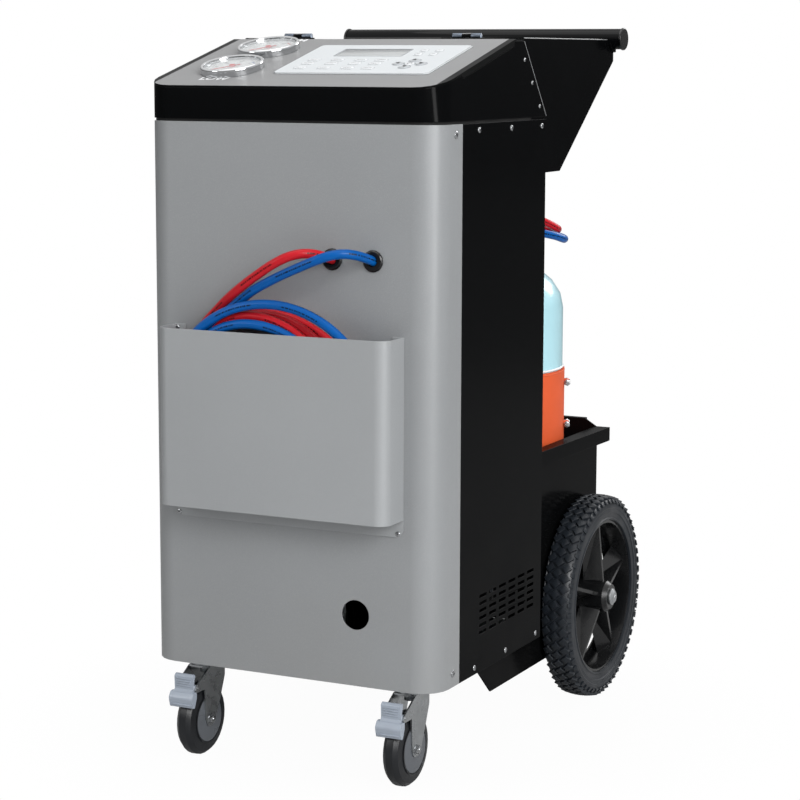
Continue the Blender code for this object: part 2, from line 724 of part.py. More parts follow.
def handle_bracket():
    """Bracket plate with a folded top edge and a scoop, edged by a saddle, that the tube lies in."""
    drop = LID_SHEET + GAP
    lean = (DEPTH - LEDGE_END) / (CREST_Z - drop - CONSOLE_BOTTOM)
    clear = GAP * math.hypot(1, lean)
    scoop = TUBE_R + GAP
    first = -math.acos((BRACKET_REAR - TUBE_Y) / scoop)
    last = -math.pi + math.asin((TUBE_Z - BRACKET_TOP) / scoop)
    arc = [(TUBE_Y + scoop * math.cos(first + (last - first) * k / 8),
            TUBE_Z + scoop * math.sin(first + (last - first) * k / 8)) for k in range(9)]
    under_console = CONSOLE_BOTTOM - 2 * GAP
    outline = [(BRACKET_INSIDE, BRACKET_BOTTOM), (BRACKET_BOTTOM_END, BRACKET_BOTTOM),
               (BRACKET_REAR, BRACKET_REAR_LOW), *arc, (LEDGE_END + 2 * clear, BRACKET_TOP),
               (LEDGE_END + 2 * clear, CREST_Z - drop - GAP), (DEPTH + clear, CONSOLE_BOTTOM),
               (DEPTH + clear, under_console), (BRACKET_INSIDE, under_console)]
    outside = HALF - SHEET - GAP
    inside = outside - PLATE
    plate = flat("handle_bracket_right", outline, "YZ", inside, outside)
    saddle = rod("saddle", (inside, TUBE_Y, TUBE_Z), (1, 0, 0), SADDLE_R, PLATE + SADDLE_T, 32)
    reach = 2 * SADDLE_R
    above = box("above", (inside - 0.01, TUBE_Y - reach, BRACKET_TOP), (outside + 0.01, TUBE_Y + reach,
                                                                       TUBE_Z + reach))
    behind = box("behind", (inside - 0.01, BRACKET_REAR, TUBE_Z - reach), (outside + 0.01, TUBE_Y + reach,
                                                                          TUBE_Z + reach))
    flange = box("flange", (outside - BRACKET_FLANGE, LEDGE_END + 0.022, BRACKET_TOP - PLATE),
                 (outside - PLATE / 2, TUBE_Y - TUBE_R - 0.02, BRACKET_TOP))
    bore = rod("bore", (inside - 0.01, TUBE_Y, TUBE_Z), (1, 0, 0), scoop, 0.04, 32)
    return cut(join(plate, saddle, flange), bore, above, behind)


def handle_tube():
    inner = TUBE_R - TUBE_WALL
    left, right = TUBE_X
    profile = [(TUBE_R, right), (TUBE_R, left), (inner, left), (inner, right)]
    return turned("handle_tube", profile, (0, TUBE_Y, TUBE_Z), (1, 0, 0), 32)


def handle_cap(name, end, direction):
    inner = TUBE_R - TUBE_WALL - GAP
    edge = 0.0012
    profile = [(0, CAP_T), (CAP_R - edge, CAP_T), (CAP_R, CAP_T - edge), (CAP_R, GAP), (inner, GAP),
               (inner, -CAP_PLUG), (0, -CAP_PLUG)]
    return turned(name, profile, (end, TUBE_Y, TUBE_Z), (direction, 0, 0), 32)


# Hose pouch and grommets

def pouch_outline(inset, front, rear):
    side = POUCH_HALF - inset
    radius = POUCH_CORNER_R - inset
    return fillet([(-side, front, radius), (side, front, radius), (side, rear), (-side, rear)])


def hose_pouch():
    """Folded sheet pocket, open at the top, with a mounting flange round its back."""
    back = -GAP
    front = -POUCH_DEPTH
    shell = flat("hose_pouch", pouch_outline(0, front, back), "XY", POUCH_BOTTOM, POUCH_TOP)
    hollow = flat("hollow", pouch_outline(SHEET, front + SHEET, back - SHEET), "XY",
                  POUCH_BOTTOM + SHEET, POUCH_TOP + 0.01)
    side = POUCH_HALF - POUCH_SIDE_FLANGE
    rear_mouth = box("rear_mouth", (-side, back - 2 * SHEET, POUCH_BOTTOM + SHEET),
                     (side, 0.01, POUCH_TOP + 0.01))
    strip = flat("strip", fillet([(-POUCH_HALF, POUCH_BOTTOM - POUCH_TAB, 0.012),
                                  (POUCH_HALF, POUCH_BOTTOM - POUCH_TAB, 0.012),
                                  (POUCH_HALF, POUCH_BOTTOM + 0.002), (-POUCH_HALF, POUCH_BOTTOM + 0.002)]),
                 "XZ", back - SHEET, back)
    return join(cut(shell, hollow, rear_mouth), strip)


def grommet(name, x):
    neck = GROMMET_HOLE_R - GAP
    bore = HOSE_R + GAP
    lip = GROMMET_LIP
    rim = GROMMET_FLANGE_R
    behind = SHEET + GAP
    profile = [(bore, lip), (rim - 0.002, lip), (rim, lip - 0.002), (rim, GAP), (neck, GAP),
               (neck, -behind), (rim - 0.001, -behind), (rim - 0.001, -behind - 0.002),
               (bore, -behind - 0.002)]
    return turned(name, profile, (x, 0, GROMMET_Z), (0, -1, 0), 20)


# Service hoses: each leaves its grommet, bends left and drops into the pouch, where it is coiled
HOSE_ROUTES = {
    "red": [(0.067, 0.020, 0.6985), (0.067, -0.0065, 0.6985), (0.0650, -0.019, 0.7010),
            (0.0590, -0.0300, 0.7045), (0.0465, -0.0410, 0.7065), (0.0280, -0.0465, 0.7030),
            (0.0060, -0.0470, 0.6945), (-0.0180, -0.0450, 0.6825), (-0.0440, -0.0400, 0.6680),
            (-0.0690, -0.0320, 0.6520), (-0.0900, -0.0260, 0.6350)],
    "blue": [(0.126, 0.020, 0.6985), (0.126, -0.0065, 0.6985), (0.1240, -0.019, 0.7015),
             (0.1180, -0.0300, 0.7060), (0.1060, -0.0415, 0.7085), (0.0880, -0.0490, 0.7060),
             (0.0640, -0.0510, 0.6985), (0.0390, -0.0490, 0.6895), (0.0120, -0.0460, 0.6785),
             (-0.0120, -0.0440, 0.6665), (-0.0300, -0.0430, 0.6555)],
}


def coil(name, front, depth):
    """Outer shape of a hose coil: an oval ring that stands on its edge in the pouch."""
    scale = COIL_HALF_WIDTH / COIL_HALF_HEIGHT
    outer = COIL_HALF_HEIGHT
    inner = outer - COIL_BAND
    edge = COIL_CHAMFER
    profile = [(inner + edge, 0), (outer - edge, 0), (outer, -edge), (outer, edge - depth),
               (outer - edge, -depth), (inner + edge, -depth), (inner, edge - depth), (inner, -edge)]
    ring = turned(name, profile, (0, 0, 0), (0, -1, 0), COIL_SIDES)
    ring.data.transform(Matrix.Translation((COIL_X, front, COIL_Z)) @ Matrix.Scale(scale, 4, (1, 0, 0)))
    return ring


def coupler(name, side, ledge):
    """Quick coupler on a hose end, lying in the coil, whose flat inner face ends at the ledge."""
    reach = COUPLER_LENGTH / 2
    inner_width = COIL_HALF_WIDTH - COIL_BAND * COIL_HALF_WIDTH / COIL_HALF_HEIGHT
    inner_height = COIL_HALF_HEIGHT - COIL_BAND
    r = COUPLER_R
    profile = [(0, reach), (r * 0.75, reach), (r * 0.75, reach * 0.6), (r, reach * 0.5),
               (r, -reach * 0.3), (r * 0.8, -reach * 0.4), (r * 0.8, -reach * 0.7),
               (HOSE_R, -reach * 0.8), (HOSE_R, -reach), (0, -reach)]
    aside = max(0, COUPLER_Y[side] - ledge)
    seat = max(math.sqrt(max(0, around ** 2 - aside ** 2)) -
               inner_height * math.sqrt(1 - (along / inner_width) ** 2) for around, along in profile)
    facet = inner_width * (1 - math.cos(math.pi / COIL_SIDES))
    place = (COIL_X, COUPLER_Y[side], COIL_Z + seat + facet + GAP)
    return turned(name, profile, place, (1, 0, 0), 20)


# Rear hoses: from the cabinet's back round to the tank valve
OUTLET_RED_Y = TANK_Y - 0.014
OUTLET_BLUE_Y = TANK_Y + 0.014
REAR_HOSE_ROUTES = {
    "red": [(0.128, DEPTH - 0.022, 0.728), (0.128, DEPTH + 0.004, 0.728), (0.132, DEPTH + 0.024, 0.729),
            (0.150, DEPTH + 0.050, 0.728), (0.168, OUTLET_RED_Y - 0.056, 0.722),
            (0.172, OUTLET_RED_Y - 0.029, 0.716), (0.156, OUTLET_RED_Y - 0.007, 0.711),
            (0.128, OUTLET_RED_Y, 0.707), (0.104, OUTLET_RED_Y, OUTLET_Z), (0.088, OUTLET_RED_Y, OUTLET_Z)],
    "blue": [(0.150, DEPTH - 0.022, 0.708), (0.150, DEPTH + 0.004, 0.708), (0.155, DEPTH + 0.026, 0.708),
             (0.174, DEPTH + 0.054, 0.706), (0.190, OUTLET_BLUE_Y - 0.077, 0.700),
             (0.193, OUTLET_BLUE_Y - 0.045, 0.696), (0.178, OUTLET_BLUE_Y - 0.017, 0.697),
             (0.150, OUTLET_BLUE_Y - 0.002, 0.702), (0.120, OUTLET_BLUE_Y, OUTLET_Z),
             (0.088, OUTLET_BLUE_Y, OUTLET_Z)],
}


# Rear chassis

def chassis_side():
    """Side plate: a keel under the cabinet, the axle plate and the tray's side in one outline."""
    under = CABINET_BOTTOM - GAP
    behind = DEPTH + 3 * GAP
    outline = [(CHASSIS_FRONT_TOP, under), (CHASSIS_FRONT_LOW, CHASSIS_LOW),
               (CHASSIS_REAR - CHASSIS_REAR_CHAMFER, CHASSIS_LOW),
               (CHASSIS_REAR, CHASSIS_LOW + CHASSIS_REAR_CHAMFER), (CHASSIS_REAR, TRAY_TOP),
               (behind, TRAY_TOP), (behind, under)]
    return flat("chassis_side", outline, "YZ", TRAY_WALL_IN, CHASSIS_HALF)


def rear_chassis():
    """Welded chassis behind and under the cabinet, with the open tank tray on top."""
    under = CABINET_BOTTOM - GAP
    behind = DEPTH + 3 * GAP
    bite = PLATE / 2
    front_out, rear_out = (CHASSIS_HALF + width for width in TRAY_RIM)
    halves = []
    for side in (-1, 1):
        plate = chassis_side() if side > 0 else mirrored(chassis_side(), "left_side", keep=False)
        rim = [(CHASSIS_HALF - bite, behind), (front_out, behind), (rear_out, CHASSIS_REAR),
               (CHASSIS_HALF - bite, CHASSIS_REAR)]
        lip = [(front_out - PLATE, behind), (front_out, behind), (rear_out, CHASSIS_REAR),
               (rear_out - PLATE, CHASSIS_REAR)]
        mount = [(CHASSIS_HALF - MOUNT_FLANGE, CHASSIS_FRONT_TOP), (CHASSIS_HALF - bite, CHASSIS_FRONT_TOP),
                 (CHASSIS_HALF - bite, behind - bite), (CHASSIS_HALF - MOUNT_FLANGE, behind - bite)]
        extras = [flat(label, [(side * x, y) for x, y in outline], "XY", low, high)
                  for label, outline, low, high in (("rim", rim, TRAY_TOP - PLATE, TRAY_TOP),
                                                    ("lip", lip, TRAY_TOP - TRAY_LIP, TRAY_TOP),
                                                    ("mount", mount, under - PLATE, under))]
        halves.append(join(plate, *extras))
    wide = TRAY_WALL_IN + bite
    floor = box("floor", (-wide, behind, TRAY_FLOOR), (wide, CHASSIS_REAR, TRAY_FLOOR + PLATE))
    front_edge = box("front_edge", (-wide, behind, TRAY_FLOOR), (wide, behind + PLATE, TRAY_FLOOR + 0.03))
    belly = box("belly", (-wide, BELLY_FRONT, CHASSIS_LOW + BELLY_INSET),
                (wide, CHASSIS_REAR - CHASSIS_REAR_CHAMFER - BELLY_INSET,
                 CHASSIS_LOW + BELLY_INSET + PLATE))
    wall_view = fillet([(-wide, TRAY_FLOOR), (wide, TRAY_FLOOR), (wide, TRAY_TOP),
                        (REAR_WALL_HALF, REAR_WALL_TOP), (-REAR_WALL_HALF, REAR_WALL_TOP),
                        (-wide, TRAY_TOP)])
    wall = flat("wall", wall_view, "XZ", CHASSIS_REAR - PLATE, CHASSIS_REAR)
    hem = box("hem", (-REAR_WALL_HALF, CHASSIS_REAR - bite, REAR_WALL_TOP - REAR_HEM),
              (REAR_WALL_HALF, CHASSIS_REAR + REAR_HEM, REAR_WALL_TOP))
    chassis = join(halves[1], halves[0], floor, front_edge, belly, wall, hem)
    axle_hole = rod("axle_hole", (-CHASSIS_HALF - 0.01, WHEEL_Y, TYRE_R), (1, 0, 0), AXLE_R + GAP,
                    2 * CHASSIS_HALF + 0.02, 24)
    chassis = cut(chassis, axle_hole)
    chassis.name = "rear_chassis"
    return chassis


def rear_axle():
    """Axle with its pressed-on end caps."""
    end = HUB_OUT + 2 * GAP
    cap = end + AXLE_CAP_T
    profile = [(0, cap), (AXLE_CAP_R * 0.6, cap), (AXLE_CAP_R, cap - AXLE_CAP_T * 0.6), (AXLE_CAP_R, end),
               (AXLE_R, end), (AXLE_R, -end), (AXLE_CAP_R, -end), (AXLE_CAP_R, AXLE_CAP_T * 0.6 - cap),
               (AXLE_CAP_R * 0.6, -cap), (0, -cap)]
    return turned("rear_axle", profile, (0, WHEEL_Y, TYRE_R), (1, 0, 0), 24)


# Rear wheels

def tyre():
    half = TYRE_WIDTH / 2
    seat = RIM_R + GAP
    profile = [(seat, half * 0.80), (TYRE_R * 0.93, half), (TYRE_R * 0.985, half * 0.96),
               (TYRE_R, half * 0.82), (TYRE_R, -half * 0.82), (TYRE_R * 0.985, -half * 0.96),
               (TYRE_R * 0.93, -half), (seat, -half * 0.80)]
    middle = TYRE_INSIDE + half
    return turned("tyre_right", profile, (middle, WHEEL_Y, TYRE_R), (1, 0, 0), 48)


def wheel_rim():
    """Moulded wheel: rim channel, five blade spokes and a hub with the axle bore."""
    half = TYRE_WIDTH / 2
    middle = TYRE_INSIDE + half
    centre = (middle, WHEEL_Y, TYRE_R)
    well = RIM_R - RIM_WALL
    channel = turned("wheel_rim_right", [(RIM_R, half * 0.78), (RIM_R, -half * 0.78), (well, -half * 0.78),
                                         (well - 0.003, 0), (well, half * 0.78)], centre, (1, 0, 0), 40)
    out, inn = HUB_OUT - middle, HUB_IN - middle
    bore = AXLE_R + GAP
    hub = turned("hub", [(bore, out), (HUB_R * 0.8, out), (HUB_R, out - 0.006), (HUB_R * 1.15, inn),
                         (bore, inn)], centre, (1, 0, 0), 28)
    spokes = []
    for k in range(SPOKES):
        blade = wheel_spoke(half)
        blade.data.transform(Matrix.Translation(centre) @ Matrix.Rotation(2 * math.pi * k / SPOKES, 4, "X"))
        spokes.append(blade)
    return join(channel, hub, *spokes)


def wheel_spoke(half):
    """Blade spoke: narrow at the hub, twice as wide at the rim, and thinner towards its edges."""
    near = HUB_R * 0.8
    far = math.sqrt((RIM_R - RIM_WALL * 0.4) ** 2 - (SPOKE_WIDTH / 2) ** 2)
    sections = [(near, SPOKE_WIDTH / 5, half * 0.85), (far, SPOKE_WIDTH / 2, half * 0.45)]
    bm = bmesh.new()
    rings = []
    for radius, wide, deep in sections:
        view = [(-deep * 0.55, -wide), (deep, -SPOKE_T / 2), (deep, SPOKE_T / 2), (-deep * 0.55, wide),
                (-deep * 0.8, wide * 0.6), (-deep * 0.8, -wide * 0.6)]
        rings.append([bm.verts.new((x, y, radius)) for x, y in view])
    count = len(rings[0])
    for i in range(count):
        j = (i + 1) % count
        bm.faces.new((rings[0][i], rings[0][j], rings[1][j], rings[1][i]))
    bm.faces.new(reversed(rings[0]))
    bm.faces.new(rings[1])
    bmesh.ops.triangulate(bm, faces=bm.faces)
    return from_bmesh("spoke", bm)


# Casters, built for the right side

def caster_top():
    return CABINET_BOTTOM - GAP


def fork_top():
    return caster_top() - CASTER_PLATE[2] - CASTER_RACE_H


def caster_axle():
    return (CASTER_X, CASTER_Y - CASTER_TRAIL, CASTER_R)


def caster_plate():
    """Top plate with the swivel race's fixed half and the kingpin."""
    wide, deep, thick = CASTER_PLATE
    top = caster_top()
    corners = [(CASTER_X + sx * wide / 2, CASTER_Y + sy * deep / 2, 0.006)
               for sx, sy in ((-1, -1), (1, -1), (1, 1), (-1, 1))]
    plate = flat("caster_plate_right", fillet(corners, 3), "XY", top - thick, top)
    race = rod("race", (CASTER_X, CASTER_Y, top - thick - CASTER_RACE_H * 0.5), (0, 0, 1),
               CASTER_RACE_R, CASTER_RACE_H * 0.5 + 0.001, 20)
    pin_foot = fork_top() - 0.008
    pin = rod("pin", (CASTER_X, CASTER_Y, pin_foot), (0, 0, 1), 0.006, top - thick / 2 - pin_foot, 16)
    nut = rod("nut", (CASTER_X, CASTER_Y, fork_top() - 0.012), (0, 0, 1), 0.009, 0.006, 16)
    return join(plate, race, pin, nut)


def caster_fork():
    """Pressed steel fork: crown, two tapered legs and the axle bolt."""
    x, axle_y, axle_z = caster_axle()
    top = fork_top()
    leg_view = fillet([(0.030, top), (-0.004, 0.1060, 0.003), (-0.0085, 0.1000, 0.003),
                       (-0.005, 0.0965, 0.002), (0.0175, 0.0965, 0.002), (axle_y - 0.0140, axle_z + 0.004),
                       (axle_y - 0.009, axle_z - 0.010, 0.008), (axle_y + 0.009, axle_z - 0.009, 0.008),
                       (0.060, 0.080, 0.01), (0.0705, 0.105, 0.01), (0.0705, top, 0.003)], 2)
    legs = [flat("leg", leg_view, "YZ", *sorted((x + s * FORK_HALF, x + s * (FORK_HALF - FORK_T))))
            for s in (-1, 1)]
    crown = box("crown", (x - FORK_HALF + FORK_T / 2, 0.028, top - FORK_CROWN_T),
                (x + FORK_HALF - FORK_T / 2, 0.068, top))
    race = rod("race", (x, CASTER_Y, top - 0.001), (0, 0, 1), CASTER_RACE_R * 0.9,
               CASTER_RACE_H * 0.5 + 0.001 - GAP, 20)
    bolt = rod("bolt", (x - FORK_HALF - 0.0025, axle_y, axle_z), (1, 0, 0), 0.0042,
               2 * FORK_HALF + 0.005, 12)
    pivot = rod("pivot", (x - FORK_HALF - 0.001, *PEDAL_PIVOT), (1, 0, 0), 0.0022,
                2 * FORK_HALF + 0.002, 12)
    fork = join(crown, legs[0], legs[1], race, bolt, pivot)
    bore = rod("bore", (x, CASTER_Y, top - 0.02), (0, 0, 1), 0.006 + GAP, 0.04, 20)
    fork = cut(fork, bore)
    fork.name = "caster_fork_right"
    return fork


def caster_wheel():
    half = CASTER_WIDTH / 2
    r = CASTER_R
    hub_half = FORK_HALF - FORK_T - GAP
    bore = 0.0042 + GAP
    profile = [(bore, hub_half), (0.010, hub_half), (0.012, half - 0.003), (r * 0.62, half - 0.003),
               (r * 0.66, half - 0.001), (r * 0.90, half - 0.003), (r, 0.005),
               (r, -0.005), (r * 0.90, 0.003 - half), (r * 0.66, 0.001 - half),
               (r * 0.62, 0.003 - half), (0.012, 0.003 - half), (0.010, -hub_half), (bore, -hub_half)]
    return turned("caster_wheel_right", profile, caster_axle(), (1, 0, 0), 32)


def caster_pedal():
    """Brake pedal on the fork's ears: a ribbed upper lobe and a wide lip in front of the wheel."""
    x = CASTER_X
    y, z = PEDAL_PIVOT
    inside = FORK_HALF - FORK_T - GAP
    arm_view = fillet([(y + 0.0042, z + 0.0042, 0.003), (y + 0.0042, z - 0.0042, 0.003),
                       (y - 0.010, z - 0.0045), (y - 0.010, z + 0.005)], 3)
    arm = flat("caster_pedal_right", arm_view, "YZ", x - inside, x + inside)
    lobe_view = fillet([(y - 0.0062, z - 0.006), (y - 0.0075, z + 0.004), (y - 0.0035, z + 0.018, 0.002),
                        (y - 0.0050, z + 0.0215, 0.002), (y - 0.0110, z + 0.0180, 0.003),
                        (y - 0.0100, z), (y - 0.0140, z - 0.004)], 2)
    lobe = flat("lobe", lobe_view, "YZ", x - PEDAL_LOBE_HALF, x + PEDAL_LOBE_HALF)
    lip_view = fillet([(y - 0.0066, z - 0.0030, 0.002), (y - 0.0150, z - 0.0035, 0.004),
                       (y - 0.0200, z - 0.0110, 0.006), (y - 0.0165, z - 0.0255, 0.003),
                       (y - 0.0120, z - 0.0245, 0.002), (y - 0.0068, z - 0.0120)], 3)
    lip = flat("lip", lip_view, "YZ", x - PEDAL_LIP_HALF, x + PEDAL_LIP_HALF)
    bore = rod("bore", (x - 0.03, y, z), (1, 0, 0), 0.0022 + GAP, 0.06, 12)
    return cut(join(arm, lobe, lip), bore)


# Refrigerant tank

def platform_top():
    return TRAY_FLOOR + PLATE + GAP + PLATFORM_H


def weighing_platform():
    """Scale platform: a shallow upturned pan on the tray floor."""
    low = TRAY_FLOOR + PLATE + GAP
    size = PLATFORM_HALF
    pan = box("weighing_platform", (TANK_X - size, TANK_Y - size, low), (TANK_X + size, TANK_Y + size,
                                                                         platform_top()))
    inner = size - PLATFORM_T
    under = box("under", (TANK_X - inner, TANK_Y - inner, low - 0.01),
                (TANK_X + inner, TANK_Y + inner, platform_top() - PLATFORM_T))
    cell = box("cell", (TANK_X - 0.06, TANK_Y - 0.015, low), (TANK_X + 0.06, TANK_Y + 0.015,
                                                              platform_top() - PLATFORM_T / 2))
    return join(cut(pan, under), cell)


def tank_outline(inset=0.0, dome_steps=6, belly_steps=2):
    """Half outline of the tank's shell, down the outer side from the dome's top."""
    radius = TANK_R - inset
    dome = [(radius * math.sin(a), TANK_SHOULDER + (TANK_DOME - inset) * math.cos(a))
            for a in (math.radians(90 * k / dome_steps) for k in range(dome_steps + 1))]
    belly = [(radius * math.cos(a), tank_belly() - (TANK_LOW_DOME - inset) * math.sin(a))
             for a in (math.radians(45 * k / belly_steps) for k in range(belly_steps + 1))]
    return dome + belly


def tank_belly():
    """Height where the tank's wall meets its lower dome."""
    return platform_top() + GAP + FOOT_H + TANK_LOW_DOME * 0.6


def refrigerant_tank():
    """Hollow cylinder with domed ends, a foot ring, a neck hole and a guard collar with hand holes."""
    base = platform_top() + GAP
    low = tank_belly()
    under = low - TANK_LOW_DOME * math.sqrt(1 - (FOOT_R / TANK_R) ** 2)
    profile = tank_outline() + [(FOOT_R, under), (FOOT_R, base), (FOOT_R - TANK_WALL, base),
                                (FOOT_R - TANK_WALL, under - 0.001),
                                (FOOT_R * 0.5, low - TANK_LOW_DOME * 0.93), (0, low - TANK_LOW_DOME)]
    centre = (TANK_X, TANK_Y, 0)
    tank = turned("refrigerant_tank", profile, centre, steps=36)
    foot = TANK_SHOULDER + TANK_DOME * math.sqrt(1 - (GUARD_R / TANK_R) ** 2) - 0.004
    guard = turned("guard", [(GUARD_R, GUARD_TOP), (GUARD_R, foot), (GUARD_R - TANK_WALL, foot),
                             (GUARD_R - TANK_WALL, GUARD_TOP)], centre, steps=36)
    slot_low = GUARD_TOP - 0.026
    hand_holes = box("hand_holes", (TANK_X - 0.032, TANK_Y - 0.12, slot_low),
                     (TANK_X + 0.032, TANK_Y + 0.12, GUARD_TOP - 0.008))
    hollow = turned("hollow", tank_outline(TANK_WALL, 3, 2) + [(0, low - TANK_LOW_DOME + 2 * TANK_WALL)],
                    centre, steps=24)
    neck = rod("neck", (TANK_X, TANK_Y, TANK_SHOULDER), (0, 0, 1), NECK_R + GAP, TANK_DOME + 0.01, 20)
    return cut(join(tank, cut(guard, hand_holes)), join(hollow, neck))


def heater_band():
    """Heater blanket strapped round the tank, closed by two bolts."""
    inner = TANK_R + GAP
    outer = inner + BAND_T
    band = turned("tank_heater_band", [(outer, BAND_TOP), (outer, BAND_LOW), (inner, BAND_LOW),
                                       (inner, BAND_TOP)], (TANK_X, TANK_Y, 0), steps=36)
    lugs = []
    for z in (BAND_TOP - 0.022, BAND_TOP - 0.085):
        lug = box("lug", (outer - 0.001, -0.006, z - 0.004), (outer + 0.007, 0.006, z + 0.004))
        bolt = rod("bolt", (outer + 0.0035, -0.012, z), (0, 1, 0), 0.0028, 0.024, 12)
        for piece in (lug, bolt):
            piece.data.transform(Matrix.Translation((TANK_X, TANK_Y, 0)) @ Matrix.Rotation(BAND_SEAM, 4, "Z"))
            lugs.append(piece)
    return join(band, *lugs)


def tank_valve():
    """Valve block on the dome, with a stem for each hand wheel and two hose outlets."""
    apex = TANK_SHOULDER + TANK_DOME + GAP
    neck = rod("tank_valve", (TANK_X, TANK_Y, apex - 0.014), (0, 0, 1), NECK_R, 0.030, 20)
    nut = rod("nut", (TANK_X, TANK_Y, apex), (0, 0, 1), NECK_R * 1.4, 0.018, 6)
    body = box("body", (TANK_X - 0.030, TANK_Y - 0.022, apex + 0.015), (TANK_X + 0.012, TANK_Y + 0.022,
                                                                        VALVE_TOP - 0.008))
    stems = [rod("stem", (x, TANK_Y, VALVE_TOP - 0.012), (0, 0, 1), 0.0040, 0.012 + HANDWHEEL_H * 0.6, 16)
             for x in handwheel_places().values()]
    outlets = [rod("outlet", (TANK_X, route[-1][1], OUTLET_Z), (1, 0, 0), OUTLET_R,
                   route[-1][0] - GAP - TANK_X, 20) for route in REAR_HOSE_ROUTES.values()]
    return join(neck, nut, body, *stems, *outlets)


def handwheel_places():
    middle = TANK_X - 0.009
    return {"liquid_handwheel": middle + HANDWHEEL_STEP, "vapour_handwheel": middle - HANDWHEEL_STEP}


def handwheel(name, x):
    """Valve hand wheel with a scalloped edge and a blind hole that fits over its stem."""
    outline = []
    for k in range(48):
        angle = 2 * math.pi * k / 48
        radius = HANDWHEEL_R + 0.0012 * math.cos(8 * angle)
        outline.append((x + radius * math.cos(angle), TANK_Y + radius * math.sin(angle)))
    wheel = flat(name, outline, "XY", VALVE_TOP - 0.008 + GAP, VALVE_TOP - 0.008 + GAP + HANDWHEEL_H)
    bore = rod("bore", (x, TANK_Y, VALVE_TOP - 0.02), (0, 0, 1), 0.0040 + GAP,
               0.02 + HANDWHEEL_H * 0.6 + GAP, 16)
    return cut(wheel, bore)


# Inner works, on the base pan, placed from the back panel and the vented side

COMPRESSOR_Y = DEPTH - 0.198
DRIER_Y = DEPTH - 0.048
FAN_AT = (HALF - 0.0525, DEPTH - 0.073, CABINET_BOTTOM + 0.079)
FAN_R = 0.046


def pan_floor():
    return CABINET_BOTTOM + SHEET + GAP


def vacuum_pump():
    low = pan_floor()
    middle = low + 0.060
    foot = box("vacuum_pump", (-0.17, 0.060, low), (-0.04, 0.150, low + 0.008))
    motor = rod("motor", (-0.17, 0.105, middle), (1, 0, 0), 0.045, 0.085, 28)
    head = box("head", (-0.088, 0.065, low + 0.012), (-0.030, 0.145, middle + 0.042))
    post = box("post", (-0.15, 0.080, low + 0.004), (-0.06, 0.130, middle))
    return join(foot, post, motor, head)


def compressor():
    low = pan_floor()
    profile = [(0, 0.170), (0.030, 0.166), (0.052, 0.148), (0.060, 0.120), (0.060, 0.035), (0.052, 0.014),
               (0.040, 0.008), (0.040, 0.002), (0, 0.002)]
    can = turned("compressor", profile, (0.075, COMPRESSOR_Y, low), steps=32)
    feet = box("feet", (0.010, COMPRESSOR_Y - 0.060, low), (0.140, COMPRESSOR_Y + 0.060, low + 0.004))
    return join(can, feet)


def filter_drier():
    profile = [(0, 0.085), (0.006, 0.085), (0.006, 0.070), (0.030, 0.055), (0.032, 0.050), (0.032, -0.050),
               (0.030, -0.055), (0.006, -0.070), (0.006, -0.085), (0, -0.085)]
    body = turned("filter_drier", profile, (-0.12, DRIER_Y, pan_floor() + 0.100), steps=24)
    clamp = box("clamp", (-0.155, DRIER_Y - 0.020, pan_floor() + 0.090), (-0.085, DEPTH - SHEET - GAP,
                                                                         pan_floor() + 0.110))
    return join(body, clamp)


def fan_motor():
    x, y, z = FAN_AT
    can = rod("fan_motor", (x - 0.045, y, z), (1, 0, 0), 0.020, 0.035, 24)
    shaft = rod("shaft", (x - 0.012, y, z), (1, 0, 0), 0.0025, 0.022, 12)
    post = box("post", (x - 0.040, y - 0.010, pan_floor()), (x - 0.020, y + 0.010, z))
    foot = box("foot", (x - 0.060, y - 0.025, pan_floor()), (x - 0.010, y + 0.025, pan_floor() + 0.003))
    return join(can, shaft, post, foot)


def fan_blade():
    """Four pitched blades on a hub that turns on the motor's shaft."""
    x, y, z = FAN_AT
    hub = rod("fan_blade", (0, 0, -0.007), (0, 0, 1), 0.011, 0.014, 20)
    blades = []
    for k in range(4):
        blade = box("blade", (0.006, -0.013, -0.0008), (FAN_R, 0.013, 0.0008))
        blade.data.transform(Matrix.Rotation(math.pi / 2 * k, 4, "Z") @ Matrix.Rotation(0.42, 4, "X"))
        blades.append(blade)
    fan = join(hub, *blades)
    fan.data.transform(Matrix.Translation((x, y, z)) @ turn_to((1, 0, 0)))
    bore = rod("bore", (x - 0.02, y, z), (1, 0, 0), 0.0025 + GAP, 0.04, 12)
    return cut(fan, bore)


def both_sides(machine, piece, material, origin=(0, 0, 0)):
    """Adds a right-hand piece and its left-hand twin."""
    twin = mirrored(piece, piece.name.replace("right", "left"))
    machine.add(piece, material, origin)
    machine.add(twin, material, (-origin[0], origin[1], origin[2]))


def build_cabinet(machine):
    machine.add(front_panel(), "silver_paint")
    both_sides(machine, side_panel(), "black_paint")
    machine.add(back_panel(), "black_paint")
    machine.add(base_pan(), "zinc")
    machine.add(hose_pouch(), "silver_paint")


def build_console(machine):
    pivot = (0, PIVOT_Y, PIVOT_Z)
    machine.add(console_shell(), "black_paint")
    machine.add(control_lid(), "panel_grey", pivot)
    machine.add(lid_hinge("lid_hinge_right", HINGE_X), "zinc", (HINGE_X, *pivot[1:]))
    machine.add(lid_hinge("lid_hinge_left", -HINGE_X), "zinc", (-HINGE_X, *pivot[1:]))
    for side, up in GAUGE_UP.items():
        machine.add(gauge(side + "_gauge", up), "chrome", slope_point(GAUGE_X, up))
        machine.add(needle(side + "_gauge_needle", up), "needle_red", slope_point(GAUGE_X, up))
    machine.add(keypad_panel(), "keypad_film")
    machine.add(display_module(), "screen")
    for name, (x, up) in key_places().items():
        machine.add(key(name, x, up), "key_grey", slope_point(x, up))


